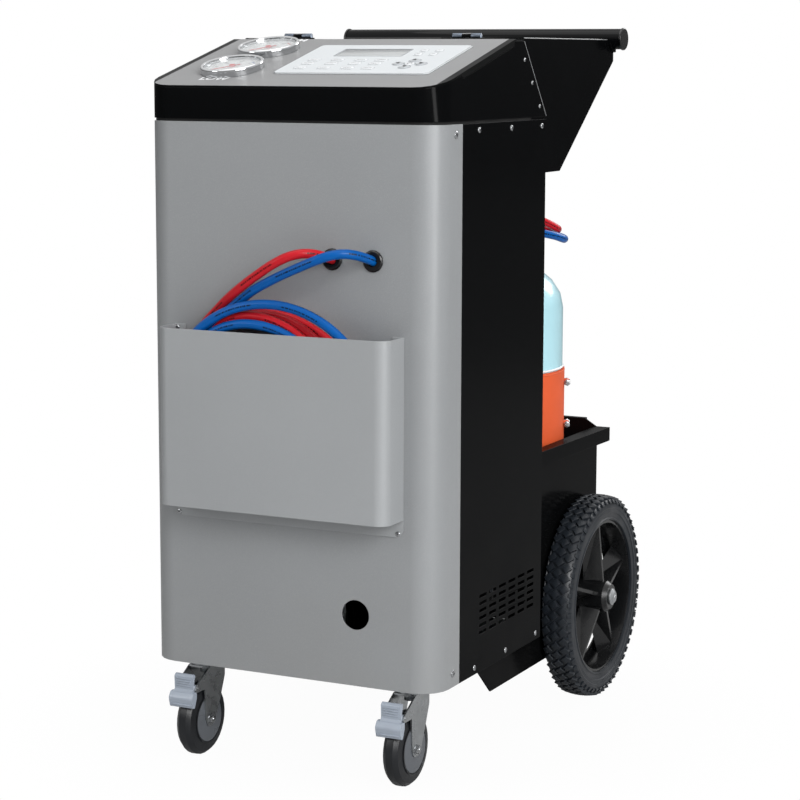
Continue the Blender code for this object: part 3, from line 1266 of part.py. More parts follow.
def build_handle(machine):
    both_sides(machine, handle_bracket(), "black_paint")
    machine.add(handle_tube(), "black_paint", (0, TUBE_Y, TUBE_Z))
    left, right = TUBE_X
    machine.add(handle_cap("handle_cap_right", right, 1), "black_plastic", (right, TUBE_Y, TUBE_Z))
    machine.add(handle_cap("handle_cap_left", left, -1), "black_plastic", (left, TUBE_Y, TUBE_Z))


def build_hoses(machine):
    depths = {"blue": BLUE_COIL_DEPTH, "red": RED_COIL_DEPTH}
    front = -POUCH_DEPTH + SHEET + GAP
    for colour in ("blue", "red"):
        material = colour + "_hose"
        machine.add(grommet("grommet_" + colour, GROMMET_X[colour]), "rubber")
        route = smooth_path(HOSE_ROUTES[colour], HOSE_R * 4)
        machine.add(hose(colour + "_service_hose", route, HOSE_R), material)
        machine.add(coil(colour + "_hose_coil", front, depths[colour]), material)
        ledge = front + depths[colour] - COIL_CHAMFER
        machine.add(coupler(colour + "_coupler", colour, ledge), material)
        rear = smooth_path(REAR_HOSE_ROUTES[colour], REAR_HOSE_R * 3)
        machine.add(hose("rear_hose_" + colour, rear, REAR_HOSE_R, 2), material)
        front += depths[colour] + GAP


def build_chassis(machine):
    hub = (TYRE_INSIDE + TYRE_WIDTH / 2, WHEEL_Y, TYRE_R)
    machine.add(rear_chassis(), "black_paint")
    machine.add(rear_axle(), "zinc", (0, WHEEL_Y, TYRE_R))
    both_sides(machine, tyre(), "rubber", hub)
    both_sides(machine, wheel_rim(), "black_plastic", hub)
    swivel = (CASTER_X, CASTER_Y, fork_top())
    both_sides(machine, caster_plate(), "zinc", swivel)
    both_sides(machine, caster_fork(), "zinc", swivel)
    both_sides(machine, caster_wheel(), "caster_rubber", caster_axle())
    both_sides(machine, caster_pedal(), "pedal_grey", (CASTER_X, *PEDAL_PIVOT))


def build_tank(machine):
    foot = (TANK_X, TANK_Y, platform_top())
    machine.add(weighing_platform(), "zinc", foot)
    machine.add(refrigerant_tank(), "tank_paint", foot)
    machine.add(heater_band(), "heater_orange", foot)
    machine.add(tank_valve(), "brass", foot)
    for name, x in handwheel_places().items():
        colour = "red_hose" if name.startswith("liquid") else "blue_hose"
        machine.add(handwheel(name, x), colour, (x, TANK_Y, VALVE_TOP))


def build_inner_works(machine):
    machine.add(vacuum_pump(), "motor_grey")
    machine.add(compressor(), "black_paint")
    machine.add(filter_drier(), "motor_grey")
    machine.add(fan_motor(), "motor_grey")
    machine.add(fan_blade(), "black_plastic", FAN_AT)


def main():
    for old in list(bpy.data.objects):
        bpy.data.objects.remove(old)
    machine = Machine()
    build_cabinet(machine)
    build_console(machine)
    build_handle(machine)
    build_hoses(machine)
    build_chassis(machine)
    build_tank(machine)
    build_inner_works(machine)


main()
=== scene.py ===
"""Looks of a wheeled refrigerant recovery machine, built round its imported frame."""

import math
import random

import bmesh
import bpy
from mathutils import Matrix, Vector

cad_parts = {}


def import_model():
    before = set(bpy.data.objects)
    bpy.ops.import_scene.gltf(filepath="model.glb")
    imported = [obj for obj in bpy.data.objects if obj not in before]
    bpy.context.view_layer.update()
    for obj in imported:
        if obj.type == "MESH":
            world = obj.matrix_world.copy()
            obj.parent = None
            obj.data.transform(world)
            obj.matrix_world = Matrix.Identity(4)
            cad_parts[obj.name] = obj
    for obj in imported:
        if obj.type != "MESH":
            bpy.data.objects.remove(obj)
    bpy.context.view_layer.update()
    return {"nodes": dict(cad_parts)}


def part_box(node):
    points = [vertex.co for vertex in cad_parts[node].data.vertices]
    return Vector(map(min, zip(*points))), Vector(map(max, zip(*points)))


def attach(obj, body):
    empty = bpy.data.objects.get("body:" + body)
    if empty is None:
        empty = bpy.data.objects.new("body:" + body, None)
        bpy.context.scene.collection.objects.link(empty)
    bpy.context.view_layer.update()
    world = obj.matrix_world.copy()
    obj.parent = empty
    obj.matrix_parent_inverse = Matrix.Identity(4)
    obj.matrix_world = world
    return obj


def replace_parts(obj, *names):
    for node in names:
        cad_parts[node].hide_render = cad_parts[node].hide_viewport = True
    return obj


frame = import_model()

# Sizes in metres. X and Z are the frame's; Y counts from the cabinet's front face
FRONT_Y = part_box("front_panel")[0].y
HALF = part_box("front_panel")[1].x
LID_FRONT_Z = 0.919
LID_SLOPE = math.radians(14.4)
LID_GREY_HALF = 0.2075
HOSE_R = 0.00625
TANK_HOSE_R = 0.0058
GAUGE_X = -0.124
GAUGE_UP = {"low": 0.079, "high": 0.181}
BEZEL_R = 0.043
BEZEL_H = 0.01
DIAL_H = 0.0045
KEYPAD_X = (-0.054, 0.174)
KEYPAD_UP = (0.06, 0.208)
KEYPAD_TOP = 0.0018
SCREEN_X = (-0.005, 0.094)
SCREEN_UP = (0.148, 0.184)
ARROW_PAD = (0.126, 0.108)
ARROW_STEP = 0.0165
POUCH_TAB = -0.0018    # outer face of the pouch's screw tabs
WHEEL_Y = 0.5594
TYRE_R = 0.1524
TYRE_INSIDE = 0.191
TYRE_WIDTH = 0.0445
TREAD_BLOCKS = 60
RIM_R = 0.115
CASTER_X = 0.158
CASTER_WHEEL_Y = 0.033
CASTER_R = 0.0508
PEDAL_PIVOT = (-0.001, 0.102)
TANK_X = 0.055
TANK_Y = 0.495
TANK_R = 0.122
BAND_TOP = 0.4995
BAND_SEAM = 22    # where the heater band closes, in degrees round the tank


def at(x, y, z):
    """Point whose Y counts from the cabinet's front face."""
    return Vector((x, FRONT_Y + y, z))


# Mesh tools

def facing(place, axis):
    """Frame at a place, with its Z along the axis."""
    turn = Vector((0, 0, 1)).rotation_difference(Vector(axis))
    return Matrix.Translation(place) @ turn.to_matrix().to_4x4()


def shifted(matrix, x, y, z=0.0):
    """The same frame, moved within itself."""
    return matrix @ Matrix.Translation((x, y, z))


def slope(x=0.0, up=0.0, out=0.0):
    """Frame of the lid's slope at a point: X across, Y up the slope, Z out of it."""
    base = Matrix.Translation(at(0, 0, LID_FRONT_Z)) @ Matrix.Rotation(LID_SLOPE, 4, "X")
    return base @ Matrix.Translation((x, up, out))


def placed(name, data):
    """New object in the scene."""
    obj = bpy.data.objects.new(name, data)
    bpy.context.scene.collection.objects.link(obj)
    return obj


def piece(name, bm, finish, body, smooth=35):
    """New object from a bmesh, with a finish from MATERIALS, riding on a body."""
    mesh = bpy.data.meshes.new(name)
    bmesh.ops.recalc_face_normals(bm, faces=bm.faces)
    bm.to_mesh(mesh)
    bm.free()
    obj = placed(name, mesh)
    mesh.shade_smooth()
    mesh.set_sharp_from_angle(angle=math.radians(smooth))
    mesh.materials.append(MATERIALS[finish])
    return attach(obj, body)


def add_mesh(bm, other, matrix):
    """Copies another bmesh into this one, moved by a matrix."""
    other.transform(matrix)
    mesh = bpy.data.meshes.new("part")
    other.to_mesh(mesh)
    other.free()
    bm.from_mesh(mesh)
    bpy.data.meshes.remove(mesh)


def lathe(bm, profile, matrix=Matrix(), steps=40):
    """Adds a closed turned shape: (radius, height) points down the outer side."""
    new = bmesh.new()
    rings = []
    for radius, height in profile:
        if radius < 1e-6:
            rings.append([new.verts.new((0, 0, height))])
            continue
        rings.append([new.verts.new((radius * math.cos(a), radius * math.sin(a), height))
                      for a in (2 * math.pi * k / steps for k in range(steps))])
    pairs = list(zip(rings, rings[1:]))
    if len(rings[0]) > 1 and len(rings[-1]) > 1:
        pairs.append((rings[-1], rings[0]))
    for upper, lower in pairs:
        for k in range(steps):
            nxt = (k + 1) % steps
            corners = [upper[k % len(upper)], lower[k % len(lower)],
                       lower[nxt % len(lower)], upper[nxt % len(upper)]]
            unique = list(dict.fromkeys(corners))
            if len(unique) > 2:
                new.faces.new(unique)
    add_mesh(bm, new, matrix)


def prism(bm, outline, low, high, matrix=Matrix(), edge=0.0):
    """Adds an extruded outline between two heights, with softened edges."""
    new = bmesh.new()
    face = new.faces.new([new.verts.new((x, y, low)) for x, y in outline])
    grown = bmesh.ops.extrude_face_region(new, geom=[face])["geom"]
    top = [v for v in grown if isinstance(v, bmesh.types.BMVert)]
    bmesh.ops.translate(new, vec=(0, 0, high - low), verts=top)
    if edge:
        rims = [e for e in new.edges if abs(e.verts[0].co.z - e.verts[1].co.z) < 1e-7]
        bmesh.ops.bevel(new, geom=rims, offset=edge, segments=2, profile=0.5, affect="EDGES")
    add_mesh(bm, new, matrix)


def block(bm, size, matrix=Matrix(), edge=0.0):
    """Adds a box centred on the matrix, with softened edges."""
    new = bmesh.new()
    bmesh.ops.create_cube(new, size=1.0)
    bmesh.ops.scale(new, vec=size, verts=new.verts)
    if edge:
        bmesh.ops.bevel(new, geom=new.edges[:], offset=edge, segments=2, profile=0.5, affect="EDGES")
    add_mesh(bm, new, matrix)


def rounded(x0, x1, y0, y1, radius, steps=6):
    """Rectangle outline with round corners."""
    outline = []
    corners = [(x1 - radius, y0 + radius, -90), (x1 - radius, y1 - radius, 0),
               (x0 + radius, y1 - radius, 90), (x0 + radius, y0 + radius, 180)]
    for cx, cy, start in corners:
        for k in range(steps + 1):
            a = math.radians(start + 90 * k / steps)
            outline.append((cx + radius * math.cos(a), cy + radius * math.sin(a)))
    return outline


def circle(radius, steps=32, x=0.0, y=0.0):
    """Circle outline, as a list of points."""
    return [(x + radius * math.cos(2 * math.pi * k / steps), y + radius * math.sin(2 * math.pi * k / steps))
            for k in range(steps)]


def frame_band(bm, outer, inner, low, high, matrix=Matrix()):
    """Adds a flat band between two outlines with the same number of points."""
    new = bmesh.new()
    count = len(outer)
    rows = [[new.verts.new((x, y, z)) for x, y in line]
            for line, z in ((outer, low), (outer, high), (inner, high), (inner, low))]
    for a, b in zip(rows, rows[1:] + rows[:1]):
        for k in range(count):
            n = (k + 1) % count
            new.faces.new((a[k], a[n], b[n], b[k]))
    add_mesh(bm, new, matrix)


def ring(bm, outer_r, inner_r, low, high, matrix=Matrix(), steps=32):
    """Adds a flat ring."""
    frame_band(bm, circle(outer_r, steps), circle(inner_r, steps), low, high, matrix)


def lettering(bm, words, size, matrix, depth=0.00012, bold=0.0):
    """Adds raised letters, centred on the matrix."""
    curve = bpy.data.curves.new("letters", "FONT")
    curve.body = words
    curve.size = size
    curve.align_x = "CENTER"
    curve.align_y = "CENTER"
    curve.extrude = depth / 2
    curve.offset = bold
    curve.resolution_u = 3
    obj = placed("letters", curve)
    bpy.context.view_layer.update()
    mesh = bpy.data.meshes.new_from_object(obj.evaluated_get(bpy.context.evaluated_depsgraph_get()))
    bpy.data.objects.remove(obj)
    new = bmesh.new()
    new.from_mesh(mesh)
    bmesh.ops.remove_doubles(new, verts=new.verts, dist=1e-6)
    bpy.data.meshes.remove(mesh)
    add_mesh(bm, new, matrix)


def smooth_line(points, step):
    """Centripetal curve through the points, as a line of points about a step apart."""
    knots = [Vector(p) for p in points]
    knots = [2 * knots[0] - knots[1]] + knots + [2 * knots[-1] - knots[-2]]
    line = []
    for a, b, c, d in zip(knots, knots[1:], knots[2:], knots[3:]):
        t1 = (b - a).length ** 0.5
        t2 = t1 + (c - b).length ** 0.5
        t3 = t2 + (d - c).length ** 0.5
        count = max(1, round((c - b).length / step))
        for k in range(count):
            t = t1 + (t2 - t1) * k / count
            a1 = a * ((t1 - t) / t1) + b * (t / t1)
            a2 = b * ((t2 - t) / (t2 - t1)) + c * ((t - t1) / (t2 - t1))
            a3 = c * ((t3 - t) / (t3 - t2)) + d * ((t - t2) / (t3 - t2))
            b1 = a1 * ((t2 - t) / t2) + a2 * (t / t2)
            b2 = a2 * ((t3 - t) / (t3 - t1)) + a3 * ((t - t1) / (t3 - t1))
            line.append(b1 * ((t2 - t) / (t2 - t1)) + b2 * ((t - t1) / (t2 - t1)))
    line.append(knots[-2])
    return line


def even(points, step):
    """The same line with points at even steps."""
    lengths = [0.0]
    for a, b in zip(points, points[1:]):
        lengths.append(lengths[-1] + (b - a).length)
    count = max(2, round(lengths[-1] / step))
    line = []
    i = 0
    for k in range(count + 1):
        along = lengths[-1] * k / count
        while i < len(points) - 2 and lengths[i + 1] < along:
            i += 1
        share = (along - lengths[i]) / (lengths[i + 1] - lengths[i])
        line.append(points[i].lerp(points[i + 1], min(1.0, share)))
    return line


def sweep(name, line, radius, finish, body, sides=20):
    """Tube along a line, with closed ends and UVs that run along it in metres."""
    bm = bmesh.new()
    uv = bm.loops.layers.uv.new("along")
    tangent = (line[1] - line[0]).normalized()
    side = tangent.orthogonal().normalized()
    rings, run, along = [], [], 0.0
    for k, point in enumerate(line):
        ahead = line[min(k + 1, len(line) - 1)] - line[max(k - 1, 0)]
        turn = tangent.rotation_difference(ahead.normalized())
        side = turn @ side
        tangent = ahead.normalized()
        other = tangent.cross(side)
        if k:
            along += (point - line[k - 1]).length
        run.append(along)
        rings.append([bm.verts.new(point + radius * (side * math.cos(a) + other * math.sin(a)))
                      for a in (2 * math.pi * s / sides for s in range(sides))])
    for k, (a, b) in enumerate(zip(rings, rings[1:])):
        for s in range(sides):
            n = (s + 1) % sides
            face = bm.faces.new((a[s], a[n], b[n], b[s]))
            around = (s / sides, (s + 1) / sides, (s + 1) / sides, s / sides)
            for loop, u, v in zip(face.loops, (run[k], run[k], run[k + 1], run[k + 1]), around):
                loop[uv].uv = (u, v)
    for end in (list(reversed(rings[0])), rings[-1]):
        bm.faces.new(end)
    return piece(name, bm, finish, body, 50)


# Materials

class Shader:
    """One Principled material and short ways to add procedural detail to it."""

    def __init__(self, name, colour, roughness, metallic=0.0, **sockets):
        self.material = bpy.data.materials.new(name)
        self.material.use_nodes = True
        self.tree = self.material.node_tree
        self.bsdf = self.tree.nodes["Principled BSDF"]
        self.set("Base Color", (*colour, 1.0))
        self.set("Roughness", roughness)
        self.set("Metallic", metallic)
        self.colour = (*colour, 1.0)
        self.roughness = roughness
        self.height = None
        for key, value in sockets.items():
            self.set(key.replace("_", " "), value)

    def set(self, key, value):
        """Sets one of the shader's own sockets."""
        self.bsdf.inputs[key].default_value = value

    def node(self, kind, **inputs):
        """New node with its inputs set; an underscore stands for a space."""
        made = self.tree.nodes.new(kind)
        for key, value in inputs.items():
            made.inputs[key.replace("_", " ")].default_value = value
        return made

    def link(self, a, b):
        self.tree.links.new(a, b)

    def place(self, scale=(1, 1, 1)):
        """Object coordinates in metres, stretched by a scale."""
        coords = self.node("ShaderNodeTexCoord")
        mapping = self.node("ShaderNodeMapping")
        mapping.inputs["Scale"].default_value = scale
        self.link(coords.outputs["Object"], mapping.inputs["Vector"])
        return mapping.outputs["Vector"]

    def noise(self, scale, detail=3.0, roughness=0.5, stretch=(1, 1, 1)):
        made = self.node("ShaderNodeTexNoise", Scale=scale, Detail=detail, Roughness=roughness)
        self.link(self.place(stretch), made.inputs["Vector"])
        return made.outputs["Fac"]

    def ramp(self, source, low, high, a=0.0, b=1.0):
        """Maps low..high to a..b, and stops at the ends."""
        made = self.node("ShaderNodeMapRange")
        for key, value in (("From Min", low), ("From Max", high), ("To Min", a), ("To Max", b)):
            made.inputs[key].default_value = value
        self.link(source, made.inputs["Value"])
        return made.outputs["Result"]

    def axis(self, vector, name):
        """One coordinate of a vector socket."""
        made = self.node("ShaderNodeSeparateXYZ")
        self.link(vector, made.inputs[0])
        return made.outputs[name]

    def mix(self, share, a, b):
        """Mix of two colours by a share; a and b are sockets or colours."""
        made = self.tree.nodes.new("ShaderNodeMix")
        made.data_type = "RGBA"
        self.link(share, made.inputs[0])
        for value, socket in ((a, made.inputs[6]), (b, made.inputs[7])):
            if isinstance(value, bpy.types.NodeSocket):
                self.link(value, socket)
            else:
                socket.default_value = value
        return made.outputs[2]

    def math(self, operation, a, b=0.0):
        made = self.tree.nodes.new("ShaderNodeMath")
        made.operation = operation
        for value, socket in ((a, made.inputs[0]), (b, made.inputs[1])):
            if isinstance(value, bpy.types.NodeSocket):
                self.link(value, socket)
            else:
                socket.default_value = value
        return made.outputs[0]

    def tint(self, share, colour):
        """Lays a colour over the present one where the share is 1."""
        now = self.bsdf.inputs["Base Color"]
        under = now.links[0].from_socket if now.links else self.colour
        self.link(self.mix(share, under, (*colour, 1.0)), now)
        return self

    def mottle(self, scale, amount, detail=3.0, stretch=(1, 1, 1)):
        """Soft colour variation about the base colour."""
        dark = tuple(c * (1 - amount) for c in self.colour[:3])
        light = tuple(min(1.0, c * (1 + amount)) for c in self.colour[:3])
        share = self.ramp(self.noise(scale, detail, stretch=stretch), 0.3, 0.7)
        mixed = self.mix(share, (*dark, 1.0), (*light, 1.0))
        self.link(mixed, self.bsdf.inputs["Base Color"])
        return self

    def rough(self, scale, spread, detail=3.0, stretch=(1, 1, 1)):
        """Roughness that wanders about its value."""
        low, high = max(0.02, self.roughness - spread), min(1.0, self.roughness + spread)
        share = self.noise(scale, detail, stretch=stretch)
        self.link(self.ramp(share, 0.3, 0.7, low, high), self.bsdf.inputs["Roughness"])
        return self

    def bump(self, source, depth, strength=1.0):
        """Adds height to the surface; depth is in metres."""
        made = self.node("ShaderNodeBump", Strength=strength, Distance=depth)
        self.link(source, made.inputs["Height"])
        if self.height:
            self.link(self.height, made.inputs["Normal"])
        self.height = made.outputs["Normal"]
        self.link(self.height, self.bsdf.inputs["Normal"])
        return self

    def dust(self, colour, amount, scale=9.0, low=0.0, high=0.25):
        """Fine dust that gathers towards the floor."""
        near = self.ramp(self.axis(self.place(), "Z"), low, high, amount, 0.0)
        patchy = self.ramp(self.noise(scale, 4.0), 0.35, 0.75)
        return self.tint(self.math("MULTIPLY", near, patchy), colour)

    def coat(self, weight, ior, roughness):
        """Clear coat over the surface."""
        for key, value in (("Weight", weight), ("IOR", ior), ("Roughness", roughness)):
            self.set("Coat " + key, value)


def powder(name, colour, roughness, peel=0.00003, **sockets):
    """Powder coat: slight colour drift, orange peel and wandering gloss."""
    made = Shader(name, colour, roughness, **sockets)
    made.mottle(3.0, 0.03).rough(14.0, 0.04)
    made.bump(made.noise(420.0, 2.0), peel, 0.5)
    return made


def silver_paint(name, share):
    """Silver powder coat; share makes one sheet a little lighter or darker than the other."""
    made = powder(name, (0.3 * share, 0.311 * share, 0.32 * share), 0.38, 0.00002)
    made.set("Metallic", 0.1)
    made.tint(made.ramp(made.noise(2600.0, 1.0), 0.6, 0.72, 0.0, 0.35), (0.55, 0.56, 0.57))
    made.dust((0.24, 0.235, 0.225), 0.35, 7.0, 0.13, 0.3)
    return made.material


def black_paint():
    """Black paint whose thin, strongly reflecting coat shows only the brightest lights."""
    made = powder("black_gloss_coat", (0.0022, 0.0024, 0.0027), 0.2, 0.00004)
    made.set("IOR", 1.05)
    made.coat(0.025, 3.0, 0.13)
    made.dust((0.01, 0.0098, 0.0095), 0.5, 11.0, 0.05, 0.45)
    return made.material


def lid_paint():
    """Grey lid whose rolled side edges are black."""
    made = powder("lid_grey_coat", (0.3, 0.302, 0.306), 0.36, 0.00002)
    made.set("IOR", 1.1)
    across = made.math("ABSOLUTE", made.axis(made.place(), "X"))
    side = made.ramp(across, LID_GREY_HALF - 0.0003, LID_GREY_HALF + 0.0003)
    normal = made.node("ShaderNodeTexCoord").outputs["Normal"]
    steep = made.ramp(made.axis(normal, "Z"), 0.8, 0.7)
    made.tint(made.math("MAXIMUM", side, steep), (0.0035, 0.0038, 0.004))
    return made.material


def metal(name, colour, roughness, scratch=0.00001, stretch=(1, 1, 1)):
    """Bare metal with fine scratches."""
    made = Shader(name, colour, roughness, 1.0)
    made.mottle(35.0, 0.1, 4.0).rough(90.0, 0.1, 4.0, stretch)
    made.bump(made.noise(700.0, 3.0, stretch=stretch), scratch, 0.5)
    return made


def zinc():
    """Zinc plate with darker spots."""
    made = metal("zinc_plate", (0.42, 0.435, 0.445), 0.32)
    made.tint(made.ramp(made.noise(55.0, 5.0), 0.56, 0.72, 0.0, 0.4), (0.36, 0.38, 0.39))
    return made.material


def gloss_black():
    """Polished black of the handle tube."""
    made = powder("polished_black", (0.0022, 0.0024, 0.0028), 0.3, 0.00001)
    made.set("IOR", 1.05)
    made.coat(0.3, 1.5, 0.05)
    return made.material


def rubber(name, colour, roughness, dusty=0.5):
    """Rubber, dusty towards the floor."""
    made = Shader(name, colour, roughness, Specular_IOR_Level=0.35)
    made.mottle(24.0, 0.18, 5.0).rough(30.0, 0.08)
    made.bump(made.noise(900.0, 3.0), 0.00005, 0.6)
    if dusty:
        made.dust((0.1, 0.098, 0.092), dusty, 22.0, 0.0, 0.22)
    return made.material


def plastic(name, colour, roughness, grain=0.00003):
    """Moulded plastic with a fine grain."""
    made = Shader(name, colour, roughness, Specular_IOR_Level=0.45)
    made.mottle(12.0, 0.05).rough(25.0, 0.05)
    made.bump(made.noise(1100.0, 2.0), grain, 0.6)
    return made.material


def hose_cover(name, colour, mark):
    """Smooth hose cover with a broken line of small dark print marks along it."""
    made = Shader(name, colour, 0.3, Specular_IOR_Level=0.14, Coat_Weight=0.06, Coat_Roughness=0.12)
    made.mottle(30.0, 0.06)
    made.bump(made.noise(500.0, 2.0), 0.00003, 0.5)
    coords = made.node("ShaderNodeUVMap")
    coords.uv_map = "along"
    along = made.axis(coords.outputs["UV"], "X")
    quarters = made.math("MULTIPLY", made.axis(coords.outputs["UV"], "Y"), 4.0)
    row = made.math("COMPARE", made.math("FRACT", quarters), 0.5)
    row.node.inputs[2].default_value = 0.11
    letters = made.node("ShaderNodeTexNoise", Scale=1.0, Detail=2.0, Roughness=0.7)
    stretch = made.node("ShaderNodeCombineXYZ")
    made.link(made.math("MULTIPLY", along, 520.0), stretch.inputs["X"])
    made.link(made.math("FLOOR", quarters), stretch.inputs["Y"])
    made.link(stretch.outputs[0], letters.inputs["Vector"])
    marks = made.ramp(letters.outputs["Fac"], 0.47, 0.5)
    words = made.math("SINE", made.math("MULTIPLY", along, 62.0))
    spaced = made.ramp(words, -0.25, -0.15)
    made.tint(made.math("MULTIPLY", made.math("MULTIPLY", marks, row), spaced), mark)
    return made.material


def tank_paint():
    """Pale blue enamel with a few scuffs."""
    made = powder("pale_blue_enamel", (0.46, 0.76, 0.84), 0.24, 0.00006)
    made.set("Coat Weight", 0.3)
    made.tint(made.ramp(made.noise(26.0, 5.0), 0.7, 0.76, 0.0, 0.4), (0.35, 0.4, 0.42))
    return made.material


def heater_silicone():
    """Orange silicone with fine ribs."""
    made = Shader("orange_silicone", (0.72, 0.105, 0.028), 0.55, Specular_IOR_Level=0.3)
    made.mottle(16.0, 0.07)
    weave = made.node("ShaderNodeTexWave", Scale=260.0, Distortion=0.6)
    weave.bands_direction = "Z"
    made.link(made.place(), weave.inputs["Vector"])
    made.bump(weave.outputs["Fac"], 0.00008, 0.5)
    return made.material


def membrane():
    """Printed keypad film."""
    made = Shader("printed_film", (0.66, 0.69, 0.71), 0.42)
    made.mottle(5.0, 0.015)
    made.bump(made.noise(800.0, 2.0), 0.00001, 0.4)
    return made.material


def ink(name, colour, roughness=0.5):
    """Flat print, and the flat colour of the painted highlight lines."""
    made = Shader(name, colour, roughness)
    made.mottle(200.0, 0.08)
    return made.material


def display():
    """Grey liquid crystal with a faint grid of cells."""
    made = Shader("liquid_crystal", (0.44, 0.455, 0.46), 0.25)
    for axis, pitch in (("X", 0.0011), ("Y", 0.0016)):
        turns_along = made.math("MULTIPLY", made.axis(made.place(), axis), 2 * math.pi / pitch)
        wave = made.math("SINE", turns_along)
        made.tint(made.ramp(wave, 0.8, 0.95, 0.0, 0.25), (0.4, 0.42, 0.43))
    return made.material


def glass():
    """Partly see-through whitish paint: its whitish share is a painted reflection on the glass, and its
    see-through share lets light reach the dial.
    """
    # Whitish colour over 30 percent of the surface: painted reflection of the glass
    made = Shader("gauge_glass_painted_reflection", (0.8, 0.82, 0.83), 0.05, Alpha=0.3, IOR=1.75)
    made.rough(80.0, 0.02)
    return made.material


MATERIALS = {
    "silver": silver_paint("silver_powder_coat", 0.88),
    "pouch": silver_paint("silver_pouch_coat", 1.04),
    "black": black_paint(),
    "lid": lid_paint(),
    "zinc": zinc(),
    "dark_zinc": metal("dark_zinc_plate", (0.15, 0.175, 0.215), 0.3).material,
    "chrome": Shader("polished_bezel", (0.6, 0.61, 0.62), 0.07, 1.0).rough(120.0, 0.03).material,
    "steel": metal("screw_steel", (0.42, 0.43, 0.44), 0.26).material,
    "gloss_black": gloss_black(),
    "grommet": rubber("grommet_rubber", (0.005, 0.005, 0.006), 0.2, 0),
    "tyre": rubber("tyre_rubber", (0.011, 0.014, 0.0185), 0.4, 0.05),
    "caster_rubber": rubber("caster_rubber", (0.008, 0.009, 0.011), 0.34, 0.04),
    "rim": plastic("wheel_plastic", (0.005, 0.0053, 0.0058), 0.26),
    "cap": plastic("cap_plastic", (0.003, 0.003, 0.0033), 0.2),
    "pedal": plastic("pedal_plastic", (0.32, 0.36, 0.42), 0.2),
    "red_hose": hose_cover("red_hose_cover", (0.5, 0.012, 0.02), (0.03, 0.002, 0.004)),
    "blue_hose": hose_cover("blue_hose_cover", (0.0005, 0.085, 0.33), (0.0005, 0.003, 0.012)),
    "red_plastic": plastic("red_plastic", (0.52, 0.018, 0.02), 0.35),
    "blue_plastic": plastic("blue_plastic", (0.008, 0.1, 0.36), 0.35),
    "tank": tank_paint(),
    "heater": heater_silicone(),
    "brass": metal("machined_brass", (0.6, 0.42, 0.17), 0.28).material,
    "film": membrane(),
    "display": display(),
    "white_ink": ink("white_ink", (0.86, 0.87, 0.88)),
    "grey_ink": ink("grey_ink", (0.34, 0.36, 0.38)),
    "dark_ink": ink("dark_ink", (0.03, 0.032, 0.036)),
    "red_ink": ink("red_ink", (0.55, 0.02, 0.02)),
    "dial": ink("dial_white", (0.8, 0.81, 0.81), 0.4),
    # Light grey of the thin beads along black edges: a painted highlight, not wear
    "painted_highlight_line": ink("painted_highlight_grey", (0.2, 0.205, 0.21), 0.3),
    "edge_ink": ink("edge_ink", (0.1, 0.105, 0.11)),
    "soft_key": ink("soft_key_white", (0.8, 0.82, 0.84), 0.3),
    "shadow_grey": ink("washer_grey", (0.2, 0.21, 0.22)),
    "seal": rubber("foam_seal", (0.006, 0.006, 0.006), 0.85, 0),
    "glass": glass(),
    "key": plastic("key_plastic", (0.47, 0.49, 0.51), 0.35),
    "disc": plastic("caster_disc_plastic", (0.096, 0.104, 0.116), 0.3),
    "motor": powder("motor_casting", (0.1, 0.11, 0.12), 0.45, 0.0002).material,
}


def both(*names):
    """Names of the right and the left piece of each pair."""
    return [name + side for name in names for side in ("_right", "_left")]


DRESS = {
    "silver": ["front_panel"],
    "pouch": ["hose_pouch"],
    "black": both("side_panel", "handle_bracket") + ["back_panel", "console_shell", "rear_chassis",
                                                     "compressor"],
    "gloss_black": ["handle_tube"],
    "dark_zinc": both("lid_hinge"),
    "lid": ["control_lid"],
    "zinc": both("caster_plate", "caster_fork") + ["base_pan", "rear_axle", "weighing_platform"],
    "chrome": ["low_gauge", "high_gauge"],
    "red_ink": ["low_gauge_needle", "high_gauge_needle"],
    "film": ["keypad_panel"],
    "display": ["display_module"],
    "key": ["key_up", "key_down", "key_left", "key_right"],
    "cap": both("handle_cap") + ["fan_blade"],
    "grommet": ["grommet_red", "grommet_blue"],
    "red_plastic": ["red_coupler", "liquid_handwheel"],
    "blue_plastic": ["blue_coupler", "vapour_handwheel"],
    "rim": both("wheel_rim"),
    "tyre": both("tyre"),
    "caster_rubber": both("caster_wheel"),
    "pedal": both("caster_pedal"),
    "tank": ["refrigerant_tank"],
    "heater": ["tank_heater_band"],
    "brass": ["tank_valve"],
    "motor": ["vacuum_pump", "filter_drier", "fan_motor"],
}

# Edge radius of each kind of surface, and the sharpest angle that stays smooth
EDGES = {"silver": 0.0005, "pouch": 0.0005, "black": 0.0006, "lid": 0.0006, "zinc": 0.0004,
         "chrome": 0.0004, "film": 0.0002, "key": 0.0003, "cap": 0.0008, "rim": 0.0012,
         "caster_rubber": 0.0006, "pedal": 0.0009, "tank": 0.0005, "brass": 0.0006, "motor": 0.0015,
         "grommet": 0.0005, "heater": 0.0004}
SHARP = math.radians(28)


def dress(name, finish):
    """Gives a CAD node its finish and softens its edges."""
    node = frame["nodes"][name]
    node.data.materials.clear()
    node.data.materials.append(MATERIALS[finish])
    node.data.shade_smooth()
    weld = node.modifiers.new("weld", "WELD")
    weld.merge_threshold = 0.000004
    if finish in EDGES:
        edge = node.modifiers.new("edges", "BEVEL")
        edge.width = EDGES[finish]
        edge.segments = 2
        edge.limit_method = "ANGLE"
        edge.angle_limit = SHARP
        edge.miter_outer = "MITER_ARC"
    normals = node.modifiers.new("normals", "WEIGHTED_NORMAL")
    normals.mode = "FACE_AREA"
    normals.keep_sharp = False


def dress_all():
    """Gives every CAD node its finish."""
    for finish, names in DRESS.items():
        for name in names:
            dress(name, finish)


